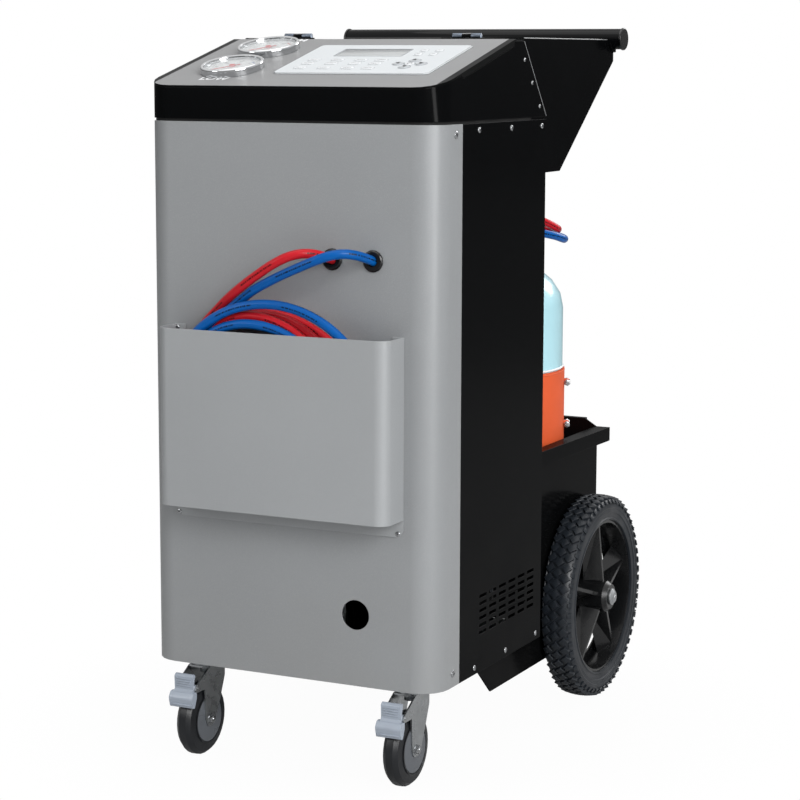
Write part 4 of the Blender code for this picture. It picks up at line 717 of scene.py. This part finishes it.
# Service hoses: a free stretch from each grommet to the pouch, then turns that stand in the pouch
FREE = {
    "red": [(0.069, 0.01, 0.6955), (0.0665, -0.002, 0.699), (0.0622, -0.0145, 0.703),
            (0.0545, -0.027, 0.7066), (0.0425, -0.0375, 0.7075), (0.0265, -0.0445, 0.7035),
            (0.006, -0.047, 0.6935), (-0.018, -0.045, 0.679), (-0.044, -0.0395, 0.6625),
            (-0.069, -0.0315, 0.6455), (-0.092, -0.023, 0.6275), (-0.118, -0.015, 0.6045),
            (-0.143, -0.01, 0.5675)],
    "blue": [(0.128, 0.01, 0.6955), (0.1255, -0.002, 0.699), (0.1212, -0.0145, 0.7035),
             (0.1135, -0.0275, 0.7078), (0.1015, -0.0385, 0.7095), (0.0855, -0.046, 0.7068),
             (0.064, -0.0495, 0.6988), (0.039, -0.049, 0.6885), (0.012, -0.0465, 0.677),
             (-0.012, -0.044, 0.6655), (-0.03, -0.0405, 0.656), (-0.047, -0.035, 0.645),
             (-0.066, -0.032, 0.6315), (-0.092, -0.0318, 0.612), (-0.118, -0.0321, 0.588),
             (-0.145, -0.0321, 0.55)],
}

# Where each turn is furthest left, lowest, furthest right and highest, in the order that the hose runs
TURNS = {
    "blue": [(-0.16, -0.0321, 0.505), (-0.01, -0.0321, 0.3735), (0.1494, -0.0446, 0.502),
             (-0.0034, -0.0446, 0.6408), (-0.1545, -0.0446, 0.502), (-0.01, -0.0446, 0.3735),
             (0.0944, -0.0446, 0.502), (-0.0324, -0.0446, 0.6139), (-0.1449, -0.0446, 0.502),
             (-0.012, -0.0446, 0.3872), (0.078, -0.0446, 0.495), (-0.033, -0.0446, 0.588),
             (-0.1285, -0.0446, 0.495), (-0.0375, -0.0388, 0.429)],
    "red": [(-0.16, -0.007, 0.505), (-0.01, -0.007, 0.3735), (0.1144, -0.007, 0.502),
            (-0.0427, -0.007, 0.6268), (-0.1425, -0.0195, 0.502), (-0.02, -0.0195, 0.3735),
            (0.0946, -0.0195, 0.502), (-0.0259, -0.0195, 0.6234), (-0.1455, -0.0321, 0.502),
            (-0.02, -0.0321, 0.3865), (0.0869, -0.0321, 0.502), (-0.0378, -0.0321, 0.623),
            (-0.1315, -0.0321, 0.502), (-0.0375, -0.016, 0.429)],
}


def turns(marks, steps=14):
    """Quarter ellipses that join the marks, which the hose passes upright and level in turn."""
    line = []
    for i, (a, b) in enumerate(zip(marks, marks[1:])):
        for k in range(steps):
            share = k / steps
            angle = share * math.pi / 2
            late = max(0.0, (share - 0.4) / 0.6) if i % 2 else share
            y = a[1] + (b[1] - a[1]) * (1 - math.cos(math.pi * late)) / 2
            if i % 2 == 0:
                x = b[0] + (a[0] - b[0]) * math.cos(angle)
                z = a[2] + (b[2] - a[2]) * math.sin(angle)
            else:
                x = a[0] + (b[0] - a[0]) * math.sin(angle)
                z = b[2] + (a[2] - b[2]) * math.cos(angle)
            line.append((x, y, z))
    line.append(marks[-1])
    return line


def service_hose(colour):
    """Whole hose from its grommet to its coupler."""
    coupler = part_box(colour + "_coupler")
    end = (coupler[0].x, (coupler[0].y + coupler[1].y) / 2 - FRONT_Y, (coupler[0].z + coupler[1].z) / 2)
    marks = TURNS[colour][:-1] + [end]
    line = even(smooth_line([at(*p) for p in FREE[colour] + turns(marks)], 0.004), 0.004)
    hose = sweep(colour + "_hose", line, HOSE_R, colour + "_hose", "cabinet")
    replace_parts(hose, colour + "_service_hose", colour + "_hose_coil")
    length = sum((b - a).length for a, b in zip(line, line[1:]))
    return length


# Console: gauges, keypad print and the seal under it

def number_place(share, radius):
    """Spot on a dial for a share of the scale, which runs 270 degrees clockwise from lower left."""
    a = math.radians(225 - 270 * share)
    return radius * math.cos(a), radius * math.sin(a)


def gauge(side, top_number, step, small):
    """Printed dial with its scale, and the glass over the needle."""
    base = slope(GAUGE_X, GAUGE_UP[side], DIAL_H)
    bm = bmesh.new()
    prism(bm, circle(0.038, 64), 0.00001, 0.00008, base)
    piece(side + "_dial", bm, "dial", "lid")

    marks = bmesh.new()
    ring(marks, 0.0352, 0.0349, 0.00008, 0.00016, base, 64)
    count = top_number // step * small
    for k in range(count + 1):
        x, y = number_place(k / count, 0.033 if k % small else 0.0318)
        long = 0.0034 if k % small else 0.0058
        turn = Matrix.Rotation(math.atan2(y, x), 4, "Z")
        spot = shifted(base, x, y, 0.00012) @ turn
        block(marks, (long, 0.00035 if k % small else 0.0007, 0.00008), spot)
    for k in range(top_number // step + 1):
        x, y = number_place(k * step / top_number, 0.0245)
        lettering(marks, str(k * step), 0.0052, shifted(base, x, y, 0.00012), 0.00008)
    lettering(marks, "psi", 0.005, shifted(base, 0, -0.017, 0.00012), 0.00008)
    piece(side + "_dial_marks", marks, "dark_ink", "lid")

    zone = bmesh.new()
    outer, inner = ([number_place(0.62 + 0.38 * k / 24, radius) for k in range(25)]
                    for radius in (0.031, 0.0288))
    for a, b, c, d in zip(outer, outer[1:], inner, inner[1:]):
        prism(zone, [a, b, d, c], 0.00008, 0.00014, base)
    piece(side + "_dial_zone", zone, "red_ink" if side == "high" else "blue_plastic", "lid")

    lens = bmesh.new()
    top = BEZEL_H - 0.0006
    dome = [(0.0384 * math.sin(a), top - 0.001 + 0.001 * math.cos(a) - 0.0002)
            for a in (math.radians(90 * k / 6) for k in range(7))]
    lathe(lens, dome + [(0.0384, top - 0.0022), (0, top - 0.0022)], slope(GAUGE_X, GAUGE_UP[side]), 72)
    piece(side + "_lens", lens, "glass", "lid", 40)

    rim = bmesh.new()
    section = [(-0.002, 0.0009), (-0.0008, 0.0005), (0, -0.0008), (0.0004, -0.0026), (0.0001, -0.0034),
               (-0.0044, -0.0004), (-0.0036, 0.0006)]
    lathe(rim, [(BEZEL_R + r, BEZEL_H + h) for r, h in section], slope(GAUGE_X, GAUGE_UP[side]), 72)
    piece(side + "_bezel_bead", rim, "chrome", "lid", 40)


def console_letters():
    """LOW and HIGH beside the gauges."""
    bm = bmesh.new()
    for words, x, up in (("LOW", -0.1275, 0.0335), ("HIGH", -0.118, 0.2395)):
        wide = slope(x, up, 0.00004) @ Matrix.Diagonal((1.05, 1, 1, 1))
        lettering(bm, words, 0.0172, wide, 0.0001, 0.0006)
    piece("gauge_letters", bm, "white_ink", "lid")


def border(bm, box, outer, inner, high, matrix):
    """Adds a band round a box (x0, x1, y0, y1); outer and inner say how far outside it, and the radius."""
    x0, x1, y0, y1 = box
    lines = [rounded(x0 - grow, x1 + grow, y0 - grow, y1 + grow, radius) for grow, radius in (outer, inner)]
    frame_band(bm, *lines, 0.0, high, matrix)


def print_row(bm, rng, ends, up, out, tall, widths, gap):
    """Adds a row of short marks of random widths between two ends."""
    along, end = ends
    while along < end:
        wide = rng.uniform(*widths)
        block(bm, (wide, tall, 0.00006), slope(along + wide / 2, up, KEYPAD_TOP + out))
        along += wide + gap


def keypad_print():
    """Edge line, key outlines, lines of small print and the display's frame."""
    film = slope(0, 0, KEYPAD_TOP)
    edge = bmesh.new()
    border(edge, KEYPAD_X + KEYPAD_UP, (-0.0002, 0.0078), (-0.001, 0.007), 0.00006, film)
    piece("keypad_edge", edge, "edge_ink", "lid")
    window = bmesh.new()
    border(window, SCREEN_X + SCREEN_UP, (0.0022, 0.003), (-0.0002, 0.001), 0.0001, film)
    piece("display_frame", window, "grey_ink", "lid")

    keys = bmesh.new()
    edges = bmesh.new()
    words = bmesh.new()
    rng = random.Random(4)
    for up in (0.128, 0.1095, 0.087):
        for x in (-0.025, 0.01, 0.045, 0.075):
            pad = (x - 0.009, x + 0.009, up - 0.0042, up + 0.0042)
            prism(keys, rounded(*pad, 0.004), 0.0, 0.00035, film, 0.00012)
            border(edges, pad, (0.0007, 0.0047), (0.0001, 0.0041), 0.00008, film)
            print_row(words, rng, (x - 0.0058, x + 0.0056), up, 0.00038, 0.0013, (0.0008, 0.0024), 0.0007)
            print_row(words, rng, (x - 0.0075, x + 0.0075), up - 0.0076, 0.00003, 0.0009,
                      (0.001, 0.003), 0.0008)
    for x in (0.115, 0.137):
        for up in (0.159, 0.179):
            prism(keys, circle(0.0052, 24, x, up), 0.0, 0.00035, film, 0.00012)
            ring(edges, 0.006, 0.0054, 0.0, 0.00008, shifted(film, x, up), 24)
            block(words, (0.0042, 0.001, 0.00006), shifted(film, x, up, 0.00038))
            block(words, (0.009, 0.0008, 0.00006), shifted(film, x, up - 0.0085, 0.00003))
    cx, cy = ARROW_PAD
    for x, y in ((0, ARROW_STEP), (0, -ARROW_STEP), (ARROW_STEP, 0), (-ARROW_STEP, 0)):
        ring(edges, 0.0088, 0.0076, 0.0, 0.00012, shifted(film, cx + x, cy + y))
    prism(keys, circle(0.0066, 32, cx, cy), 0.0, 0.0008, film, 0.0003)
    ring(edges, 0.008, 0.0069, 0.0, 0.00012, shifted(film, cx, cy))
    ring(words, 0.0036, 0.0028, 0.0008, 0.00088, shifted(film, cx, cy))
    piece("keypad_soft_keys", keys, "soft_key", "lid")
    piece("keypad_key_edges", edges, "grey_ink", "lid")
    piece("keypad_words", words, "dark_ink", "lid")
    for name, turn, x, y in (("up", 0, 0, 1), ("left", 90, -1, 0), ("down", 180, 0, -1),
                             ("right", 270, 1, 0)):
        spot = slope(cx + x * ARROW_STEP, cy + y * ARROW_STEP, KEYPAD_TOP + 0.0018)
        arrow = bmesh.new()
        tip = [(0, 0.0034), (-0.003, -0.0018), (0.003, -0.0018)]
        prism(arrow, tip, 0.0, 0.00025, spot @ Matrix.Rotation(math.radians(turn), 4, "Z"))
        piece("arrow_" + name, arrow, "dark_ink", "key_" + name)


def plan(inset, rear, steps=8):
    """Cabinet outline seen from above, in row coordinates."""
    radius = 0.039 - inset
    side = HALF - inset
    front = FRONT_Y + inset
    line = [(side, FRONT_Y + rear)]
    for start, cx in ((0, side - radius), (-90, -side + radius)):
        for k in range(steps + 1):
            a = math.radians(start - 90 * k / steps)
            line.append((cx + radius * math.cos(a), front + radius + radius * math.sin(a)))
    line.append((-side, FRONT_Y + rear))
    return line


def console_seal():
    """Dark foam strip that closes the seam between the cabinet and the console, and thin light grey beads
    that are painted highlights along the console's back edge and the handle bracket's top flange.
    """
    bm = bmesh.new()
    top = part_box("console_shell")[0].z + 0.0002
    frame_band(bm, plan(0.0022, 0.344), plan(0.0085, 0.337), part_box("side_panel_right")[1].z - 0.0004, top)
    piece("console_seal", bm, "seal", "cabinet")
    # Light grey beads along the console's slanted back edge and the bracket's top flange: painted highlight
    # lines where these edges catch the light
    for side, sign in (("right", 1), ("left", -1)):
        back = [at(sign * 0.2172, 0.348, 0.8765), at(sign * 0.2172, 0.269, 0.9775)]
        sweep("console_edge_highlight_" + side, back, 0.0006, "painted_highlight_line", "cabinet", 8)
        flange = [at(sign * 0.2155, 0.2715, 0.982), at(sign * 0.2155, 0.58, 0.982)]
        sweep("bracket_edge_highlight_" + side, flange, 0.0007, "painted_highlight_line", "cabinet", 8)


# Fasteners

def pan_head(bm, place, axis, radius=0.0036, height=0.0022):
    """Domed screw head that stands on a surface; returns its frame."""
    matrix = facing(place, axis)
    profile = [(radius * math.sin(a), height * (0.35 + 0.65 * math.cos(a)))
               for a in (math.radians(84 * k / 5) for k in range(6))]
    lathe(bm, profile + [(radius, height * 0.15), (radius, -0.0003), (0, -0.0003)], matrix, 20)
    return matrix


def cross_recess(bm, matrix, radius, height):
    """Adds the dark cross in a screw head."""
    for turn in (0, 90):
        spot = matrix @ Matrix.Rotation(math.radians(turn), 4, "Z") @ Matrix.Translation((0, 0, height))
        block(bm, (radius * 0.95, radius * 0.22, height * 0.16), spot)


def hex_head(bm, place, axis, radius, height, washer=0.0):
    """Hexagonal head or nut with its bolt's end."""
    matrix = facing(place, axis)
    if washer:
        thick = height * 0.22
        lathe(bm, [(0, thick), (washer, thick), (washer, -0.0002), (0, -0.0002)], matrix, 28)
    prism(bm, circle(radius, 6), 0.0, height, matrix, radius * 0.09)
    lathe(bm, [(0, height * 1.25), (radius * 0.42, height * 1.25), (radius * 0.5, height * 1.1),
               (radius * 0.5, 0), (0, 0)], matrix, 20)


def panel_screws():
    """Cabinet screws: front wrap, side panels, console seams, pouch tab and back panel."""
    heads = bmesh.new()
    crosses = bmesh.new()
    for sign in (1, -1):
        side = sign * HALF
        spots = [(0.051, 0.859), (0.051, 0.155)]
        spots += [(y, 0.863) for y in (0.122, 0.227, 0.3315)] + [(y, 0.146) for y in (0.119, 0.223, 0.329)]
        for y, z in spots:
            radius = 0.005 if y < 0.06 else 0.0038
            matrix = pan_head(heads, at(side, y, z), (sign, 0, 0), radius)
            cross_recess(crosses, matrix, radius, 0.0021)
        for y, z in ((0.269, 0.953), (0.296, 0.922), (0.323, 0.89)):
            matrix = pan_head(heads, at(side, y, z), (sign, 0, 0), 0.0027, 0.0016)
            cross_recess(crosses, matrix, 0.0027, 0.0015)
    for x, z in ((-0.167, 0.347), (0.163, 0.347), (-0.167, 0.5985)):
        matrix = pan_head(heads, at(x, POUCH_TAB, z), (0, -1, 0), 0.0034, 0.002)
        cross_recess(crosses, matrix, 0.0034, 0.0019)
    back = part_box("back_panel")[1].y - FRONT_Y
    for x in (-0.2, 0.0, 0.2):
        for z in (0.45, 0.64, 0.86):
            if abs(x) < 0.1 and z < 0.5:
                continue
            matrix = pan_head(heads, at(x, back, z), (0, 1, 0))
            cross_recess(crosses, matrix, 0.0036, 0.0021)
    piece("panel_screws", heads, "steel", "cabinet")
    piece("panel_screw_recesses", crosses, "dark_ink", "cabinet")


# Wheels

def tyre(side, sign):
    """Tyre with a stepped side wall and three rows of diamond tread blocks."""
    spin = "rear_wheel_" + side
    middle = at(sign * (TYRE_INSIDE + TYRE_WIDTH / 2), WHEEL_Y, TYRE_R)
    axle = facing(middle, (sign, 0, 0))
    half = TYRE_WIDTH / 2
    low = TYRE_R - 0.0034
    outer = [(low, 0), (low - 0.0004, half * 0.45), (low - 0.0018, half * 0.72),
             (low - 0.0052, half * 0.9), (low - 0.0105, half * 0.985), (low - 0.015, half)]
    outer += [(low - down, half - back)
              for down, back in ((0.0165, 0.0009), (0.0215, 0.0006), (0.0232, 0.002))]
    outer += [(RIM_R + up, half - back)
              for up, back in ((0.0042, 0.0024), (0.0026, 0.0012), (0.0006, 0.0016), (0.0002, 0.004))]
    bm = bmesh.new()
    lathe(bm, outer[:0:-1] + [(r, -z) for r, z in outer], axle, 96)
    step = 2 * math.pi / TREAD_BLOCKS
    half_long = 0.0075
    wide = step * TYRE_R * 0.44
    diamond = [(-half_long, 0), (-half_long * 0.15, -wide), (half_long, 0), (half_long * 0.15, wide)]
    lug = [(-0.004, -0.0044), (0.003, -0.0026), (0.003, 0.0026), (-0.004, 0.0044)]
    for k in range(TREAD_BLOCKS):
        for place, shift in ((0.0, 0.0), (0.58, 0.5), (-0.58, 0.5)):
            angle = step * (k + shift)
            drop = 0.001 if place else 0.0
            turn = shifted(Matrix.Rotation(angle, 4, "Z"), TYRE_R - 0.0021 - drop, 0, place * half)
            turn = turn @ Matrix.Rotation(math.pi / 2, 4, "Y")
            if place:
                turn = turn @ Matrix.Rotation(-0.16 * (1 if place > 0 else -1), 4, "Y")
            prism(bm, diamond, -0.0024, 0.0021, axle @ turn, 0.0005)
        for edge in (1, -1):
            turn = shifted(Matrix.Rotation(step * k, 4, "Z"), TYRE_R - 0.0085, 0, edge * half * 0.945)
            turn = turn @ Matrix.Rotation(math.pi / 2 - edge * 0.95, 4, "Y")
            prism(bm, lug, -0.0014, 0.0005, axle @ turn, 0.0003)
    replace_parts(piece("tyre_tread_" + side, bm, "tyre", spin, 30), "tyre_" + side)


def hub_parts(side, sign):
    """Inner rim lip, retaining washer and axle nut."""
    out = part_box("wheel_rim_" + side)
    face = out[1].x if sign > 0 else out[0].x
    centre = Vector((face, at(0, WHEEL_Y, 0).y, TYRE_R))
    lip = bmesh.new()
    inside = facing(at(sign * (TYRE_INSIDE + 0.004), WHEEL_Y, TYRE_R), (sign, 0, 0))
    ring(lip, RIM_R + 0.0005, RIM_R - 0.0165, 0.0, 0.0025, inside, 72)
    piece("rim_lip_" + side, lip, "rim", "rear_wheel_" + side)
    plate = bmesh.new()
    lathe(plate, [(0, 0.0016), (0.012, 0.0016), (0.0124, 0.0012), (0.0124, -0.001), (0, -0.001)],
          facing(centre, (sign, 0, 0)), 40)
    piece("hub_washer_" + side, plate, "rim", "rear_wheel_" + side)
    bm = bmesh.new()
    hex_head(bm, centre + Vector((sign * 0.0016, 0, 0)), (sign, 0, 0), 0.0068, 0.0046)
    piece("axle_nut_" + side, bm, "steel", "rear_wheel_" + side)


def caster_parts(side, sign):
    """Side discs and rings, pedal ribs, axle bolt and plate bolts of a caster."""
    x = sign * CASTER_X
    wheel = bmesh.new()
    ribs = bmesh.new()
    for way in (1, -1):
        out = shifted(facing(at(x, CASTER_WHEEL_Y, CASTER_R), (way, 0, 0)), 0, 0, 0.0137)
        disc = [(0, 0.0008), (0.03, 0.0008), (0.0318, 0.0002), (0.0318, -0.0005), (0, -0.0005)]
        lathe(wheel, disc, out, 48)
        ring(ribs, 0.0345, 0.0325, -0.0002, 0.0005, out, 48)
    piece("caster_disc_" + side, wheel, "disc", "caster_wheel_" + side)
    piece("caster_ring_" + side, ribs, "caster_rubber", "caster_wheel_" + side)
    ridges = bmesh.new()
    pivot_y, pivot_z = PEDAL_PIVOT
    for k in range(4):
        spot = Matrix.Translation(at(x, pivot_y - 0.0103 - 0.0002 * k, pivot_z + 0.0045 + 0.0034 * k))
        block(ridges, (0.023, 0.0024, 0.0015), spot, 0.0005)
    spot = Matrix.Translation(at(x, pivot_y - 0.0182, pivot_z - 0.02))
    block(ridges, (0.033, 0.0016, 0.002), spot, 0.0006)
    piece("pedal_ribs_" + side, ridges, "pedal", "caster_pedal_" + side)
    bolts = bmesh.new()
    for way in (1, -1):
        face = x + way * 0.0168
        hex_head(bolts, at(face, CASTER_WHEEL_Y, CASTER_R), (way, 0, 0), 0.0062, 0.0038, 0.0078)
    piece("caster_bolt_" + side, bolts, "steel", "caster_fork_" + side)
    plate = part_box("caster_plate_" + side)
    heads = bmesh.new()
    for px in (plate[0].x + 0.008, plate[1].x - 0.008):
        for py in (plate[0].y + 0.008, plate[1].y - 0.008):
            hex_head(heads, (px, py, plate_low(side)), (0, 0, -1), 0.0052, 0.0032, 0.0066)
    piece("caster_plate_bolts_" + side, heads, "steel", "cabinet")


def plate_low(side):
    """Under side of the caster's top plate."""
    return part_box("caster_plate_" + side)[1].z - 0.0028


# Tank and the hoses behind

def tank_parts():
    """Tank's weld bead, rolled guard rim and the heater band's stitched edges."""
    base = Matrix.Translation(at(TANK_X, TANK_Y, 0))
    bead = bmesh.new()
    lathe(bead, [(TANK_R + 0.0016, 0.503), (TANK_R + 0.0022, 0.5022), (TANK_R + 0.0016, 0.5012),
                 (TANK_R + 0.0001, 0.5008), (TANK_R + 0.0001, 0.5036)], base, 96)
    piece("tank_bead", bead, "white_ink", "cabinet")
    collar = bmesh.new()
    lathe(collar, [(0.0795, 0.6893), (0.0797, 0.6905), (0.0786, 0.6912), (0.0752, 0.6912),
                   (0.0744, 0.6905), (0.0746, 0.6893)], base, 72)
    piece("guard_rim", collar, "tank", "cabinet")
    stitches = bmesh.new()
    for z in (0.368, 0.4965):
        lathe(stitches, [(TANK_R + 0.003, z + 0.0012), (TANK_R + 0.0036, z), (TANK_R + 0.003, z - 0.0012),
                         (TANK_R + 0.0022, z)], base, 96)
    piece("heater_edges", stitches, "heater", "cabinet")


REAR_HOSES = {
    "red": [(0.128, 0.326, 0.728), (0.128, 0.354, 0.728), (0.136, 0.376, 0.73), (0.155, 0.4, 0.731),
            (0.178, 0.428, 0.725), (0.19, 0.456, 0.713), (0.18, 0.479, 0.709), (0.15, 0.484, 0.708),
            (0.118, 0.4815, 0.7065), (0.1, 0.481, 0.706), (0.088, 0.481, 0.706)],
    "blue": [(0.15, 0.326, 0.708), (0.15, 0.354, 0.708), (0.158, 0.376, 0.71), (0.178, 0.403, 0.71),
             (0.195, 0.434, 0.704), (0.198, 0.466, 0.697), (0.182, 0.494, 0.697), (0.15, 0.508, 0.702),
             (0.12, 0.509, 0.706), (0.088, 0.509, 0.706)],
}


def rear_hose(colour):
    """Hose from the back panel to the tank valve."""
    line = even(smooth_line([at(*p) for p in REAR_HOSES[colour]], 0.003), 0.003)
    hose = sweep("tank_hose_" + colour, line, TANK_HOSE_R, colour + "_hose", "cabinet")
    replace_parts(hose, "rear_hose_" + colour)


def rear_hose_parts():
    """Crimped ferrules at both ends of the two tank hoses, and swivel nuts at their tank ends."""
    nuts = bmesh.new()
    ferrules = bmesh.new()
    ends = [((0.128, 0.728), (0.088, TANK_Y - 0.014)), ((0.15, 0.708), (0.088, TANK_Y + 0.014))]
    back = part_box("back_panel")[1].y - FRONT_Y
    for (x, z), (end_x, end_y) in ends:
        wall = facing(at(x, back, z), (0, 1, 0))
        nozzle = facing(at(end_x, end_y, 0.706), (1, 0, 0))
        for spot, low, rise, top in ((wall, 0.0024, 0.0006, 0.014), (nozzle, 0.0092, 0.0008, 0.023)):
            lathe(ferrules, [(0.007, top), (0.0076, top - 0.001), (0.0076, low + rise), (0.007, low),
                             (0.0059, low), (0.0059, top)], spot, 28)
        ring(nuts, 0.0105, 0.006, 0.0004, 0.0092, nozzle, 6)
    piece("hose_nuts", nuts, "brass", "cabinet")
    piece("hose_ferrules", ferrules, "steel", "cabinet")


def band_bolts():
    """Steel bolts through the heater band's lugs."""
    heads = bmesh.new()
    seam = math.radians(BAND_SEAM)
    base = Matrix.Translation(at(TANK_X, TANK_Y, 0)) @ Matrix.Rotation(seam, 4, "Z")
    for z in (BAND_TOP - 0.022, BAND_TOP - 0.085):
        for way in (1, -1):
            spot = base @ Vector((TANK_R + 0.0074, way * 0.01, z))
            axis = base.to_3x3() @ Vector((0, way, 0))
            hex_head(heads, spot, axis, 0.005, 0.0034)
    piece("band_bolts", heads, "steel", "cabinet")


# Stage

AMBIENT = 0.36
SKY = (0.1, 1.0)    # what a reflection sees, from the horizon up
CAMERA_PLACE = (1.4401, -2.9171, 0.9589)
CAMERA_TURN = (26.24, 8.611, 0.152)    # round the object, down, and roll, in degrees
CAMERA_LENS = 102.5    # in millimetres
SENSOR = 36.0


def stage():
    """Pale floor that the camera sees as white, and that keeps the object's shadow."""
    floor = bpy.data.meshes.new("floor")
    bm = bmesh.new()
    bmesh.ops.create_circle(bm, cap_ends=True, radius=14.0, segments=64)
    bm.to_mesh(floor)
    bm.free()
    obj = placed("floor", floor)
    obj.location.z = -0.0005
    made = Shader("studio_floor", (0.55, 0.55, 0.55), 0.7, Specular_IOR_Level=0.1)
    made.mottle(0.6, 0.004)
    tree = made.tree
    path = made.node("ShaderNodeLightPath")
    seen = made.math("MAXIMUM", path.outputs["Is Camera Ray"], path.outputs["Is Transmission Ray"])
    spot = made.node("ShaderNodeVectorMath")
    spot.operation = "LENGTH"
    made.link(made.place(), spot.inputs[0])
    near = made.ramp(spot.outputs["Value"], 0.3, 0.6, 0.97, 1.0)
    share = made.math("MULTIPLY", seen, near)
    glow = made.node("ShaderNodeEmission")
    mixer = tree.nodes.new("ShaderNodeMixShader")
    made.link(share, mixer.inputs[0])
    made.link(made.bsdf.outputs[0], mixer.inputs[1])
    made.link(glow.outputs[0], mixer.inputs[2])
    made.link(mixer.outputs[0], tree.nodes["Material Output"].inputs["Surface"])
    floor.materials.append(made.material)


def world():
    """White for camera and transmission rays, a gradient for reflections, and soft ambient light."""
    made = bpy.data.worlds.new("studio")
    bpy.context.scene.world = made
    made.use_nodes = True
    nodes = made.node_tree.nodes
    link = made.node_tree.links.new
    background = nodes["Background"]
    background.inputs["Color"].default_value = (1, 1, 1, 1)
    path = nodes.new("ShaderNodeLightPath").outputs
    seen = nodes.new("ShaderNodeMath")
    seen.operation = "MAXIMUM"
    link(path["Is Camera Ray"], seen.inputs[0])
    link(path["Is Transmission Ray"], seen.inputs[1])
    place = nodes.new("ShaderNodeSeparateXYZ")
    link(nodes.new("ShaderNodeTexCoord").outputs["Generated"], place.inputs[0])
    sky = nodes.new("ShaderNodeMapRange")
    for key, value in (("From Min", -0.05), ("From Max", 0.55), ("To Min", SKY[0]), ("To Max", SKY[1])):
        sky.inputs[key].default_value = value
    link(place.outputs["Z"], sky.inputs["Value"])
    soft, level = nodes.new("ShaderNodeMix"), nodes.new("ShaderNodeMix")
    soft.inputs[2].default_value = AMBIENT
    level.inputs[3].default_value = 1.0
    link(path["Is Glossy Ray"], soft.inputs[0])
    link(sky.outputs[0], soft.inputs[3])
    link(seen.outputs[0], level.inputs[0])
    link(soft.outputs[0], level.inputs[2])
    link(level.outputs[0], background.inputs["Strength"])


def lamp(name, place, aim, size, power):
    """Soft rectangular lamp aimed at a point."""
    light = bpy.data.lights.new(name, "AREA")
    light.shape = "RECTANGLE"
    light.size, light.size_y = size
    light.energy = power
    obj = placed(name, light)
    obj.location = place
    obj.rotation_euler = (Vector(aim) - Vector(place)).to_track_quat("-Z", "Y").to_euler()


def lights():
    """Studio lamps."""
    lamp("key_light", (2.7, -2.6, 2.1), (0, -0.3, 0.6), (1.6, 1.8), 104)
    lamp("left_light", (-2.2, -3.0, 1.9), (0, 0, 0.5), (1.2, 1.4), 17)
    lamp("side_light", (3.4, -1.7, 1.2), (0.1, -0.2, 0.5), (0.8, 2.2), 32)
    lamp("top_light", (0.0, -0.2, 3.2), (0, 0, 0.4), (2.4, 2.4), 27)
    lamp("rear_light", (1.0, 3.2, 2.2), (0, 0, 0.5), (1.6, 1.6), 34)


def camera():
    """Camera at the photograph's viewing angle."""
    data = bpy.data.cameras.new("camera")
    data.lens = CAMERA_LENS
    data.sensor_width = SENSOR
    obj = placed("camera", data)
    around, down, roll = (math.radians(a) for a in CAMERA_TURN)
    turn = Matrix.Rotation(around, 4, "Z") @ Matrix.Rotation(math.pi / 2 - down, 4, "X")
    obj.matrix_world = Matrix.Translation(CAMERA_PLACE) @ turn @ Matrix.Rotation(roll, 4, "Z")
    bpy.context.scene.camera = obj


def main():
    """Builds the whole scene."""
    bpy.context.scene.view_settings.view_transform = "Standard"
    camera()
    lights()
    world()
    stage()
    dress_all()
    for colour in ("red", "blue"):
        print(colour, "hose", round(service_hose(colour), 4))
        rear_hose(colour)
    gauge("low", 120, 20, 4)
    gauge("high", 500, 100, 5)
    console_letters()
    keypad_print()
    console_seal()
    panel_screws()
    for side, sign in (("right", 1), ("left", -1)):
        tyre(side, sign)
        hub_parts(side, sign)
        caster_parts(side, sign)
    tank_parts()
    rear_hose_parts()
    band_bolts()


main()
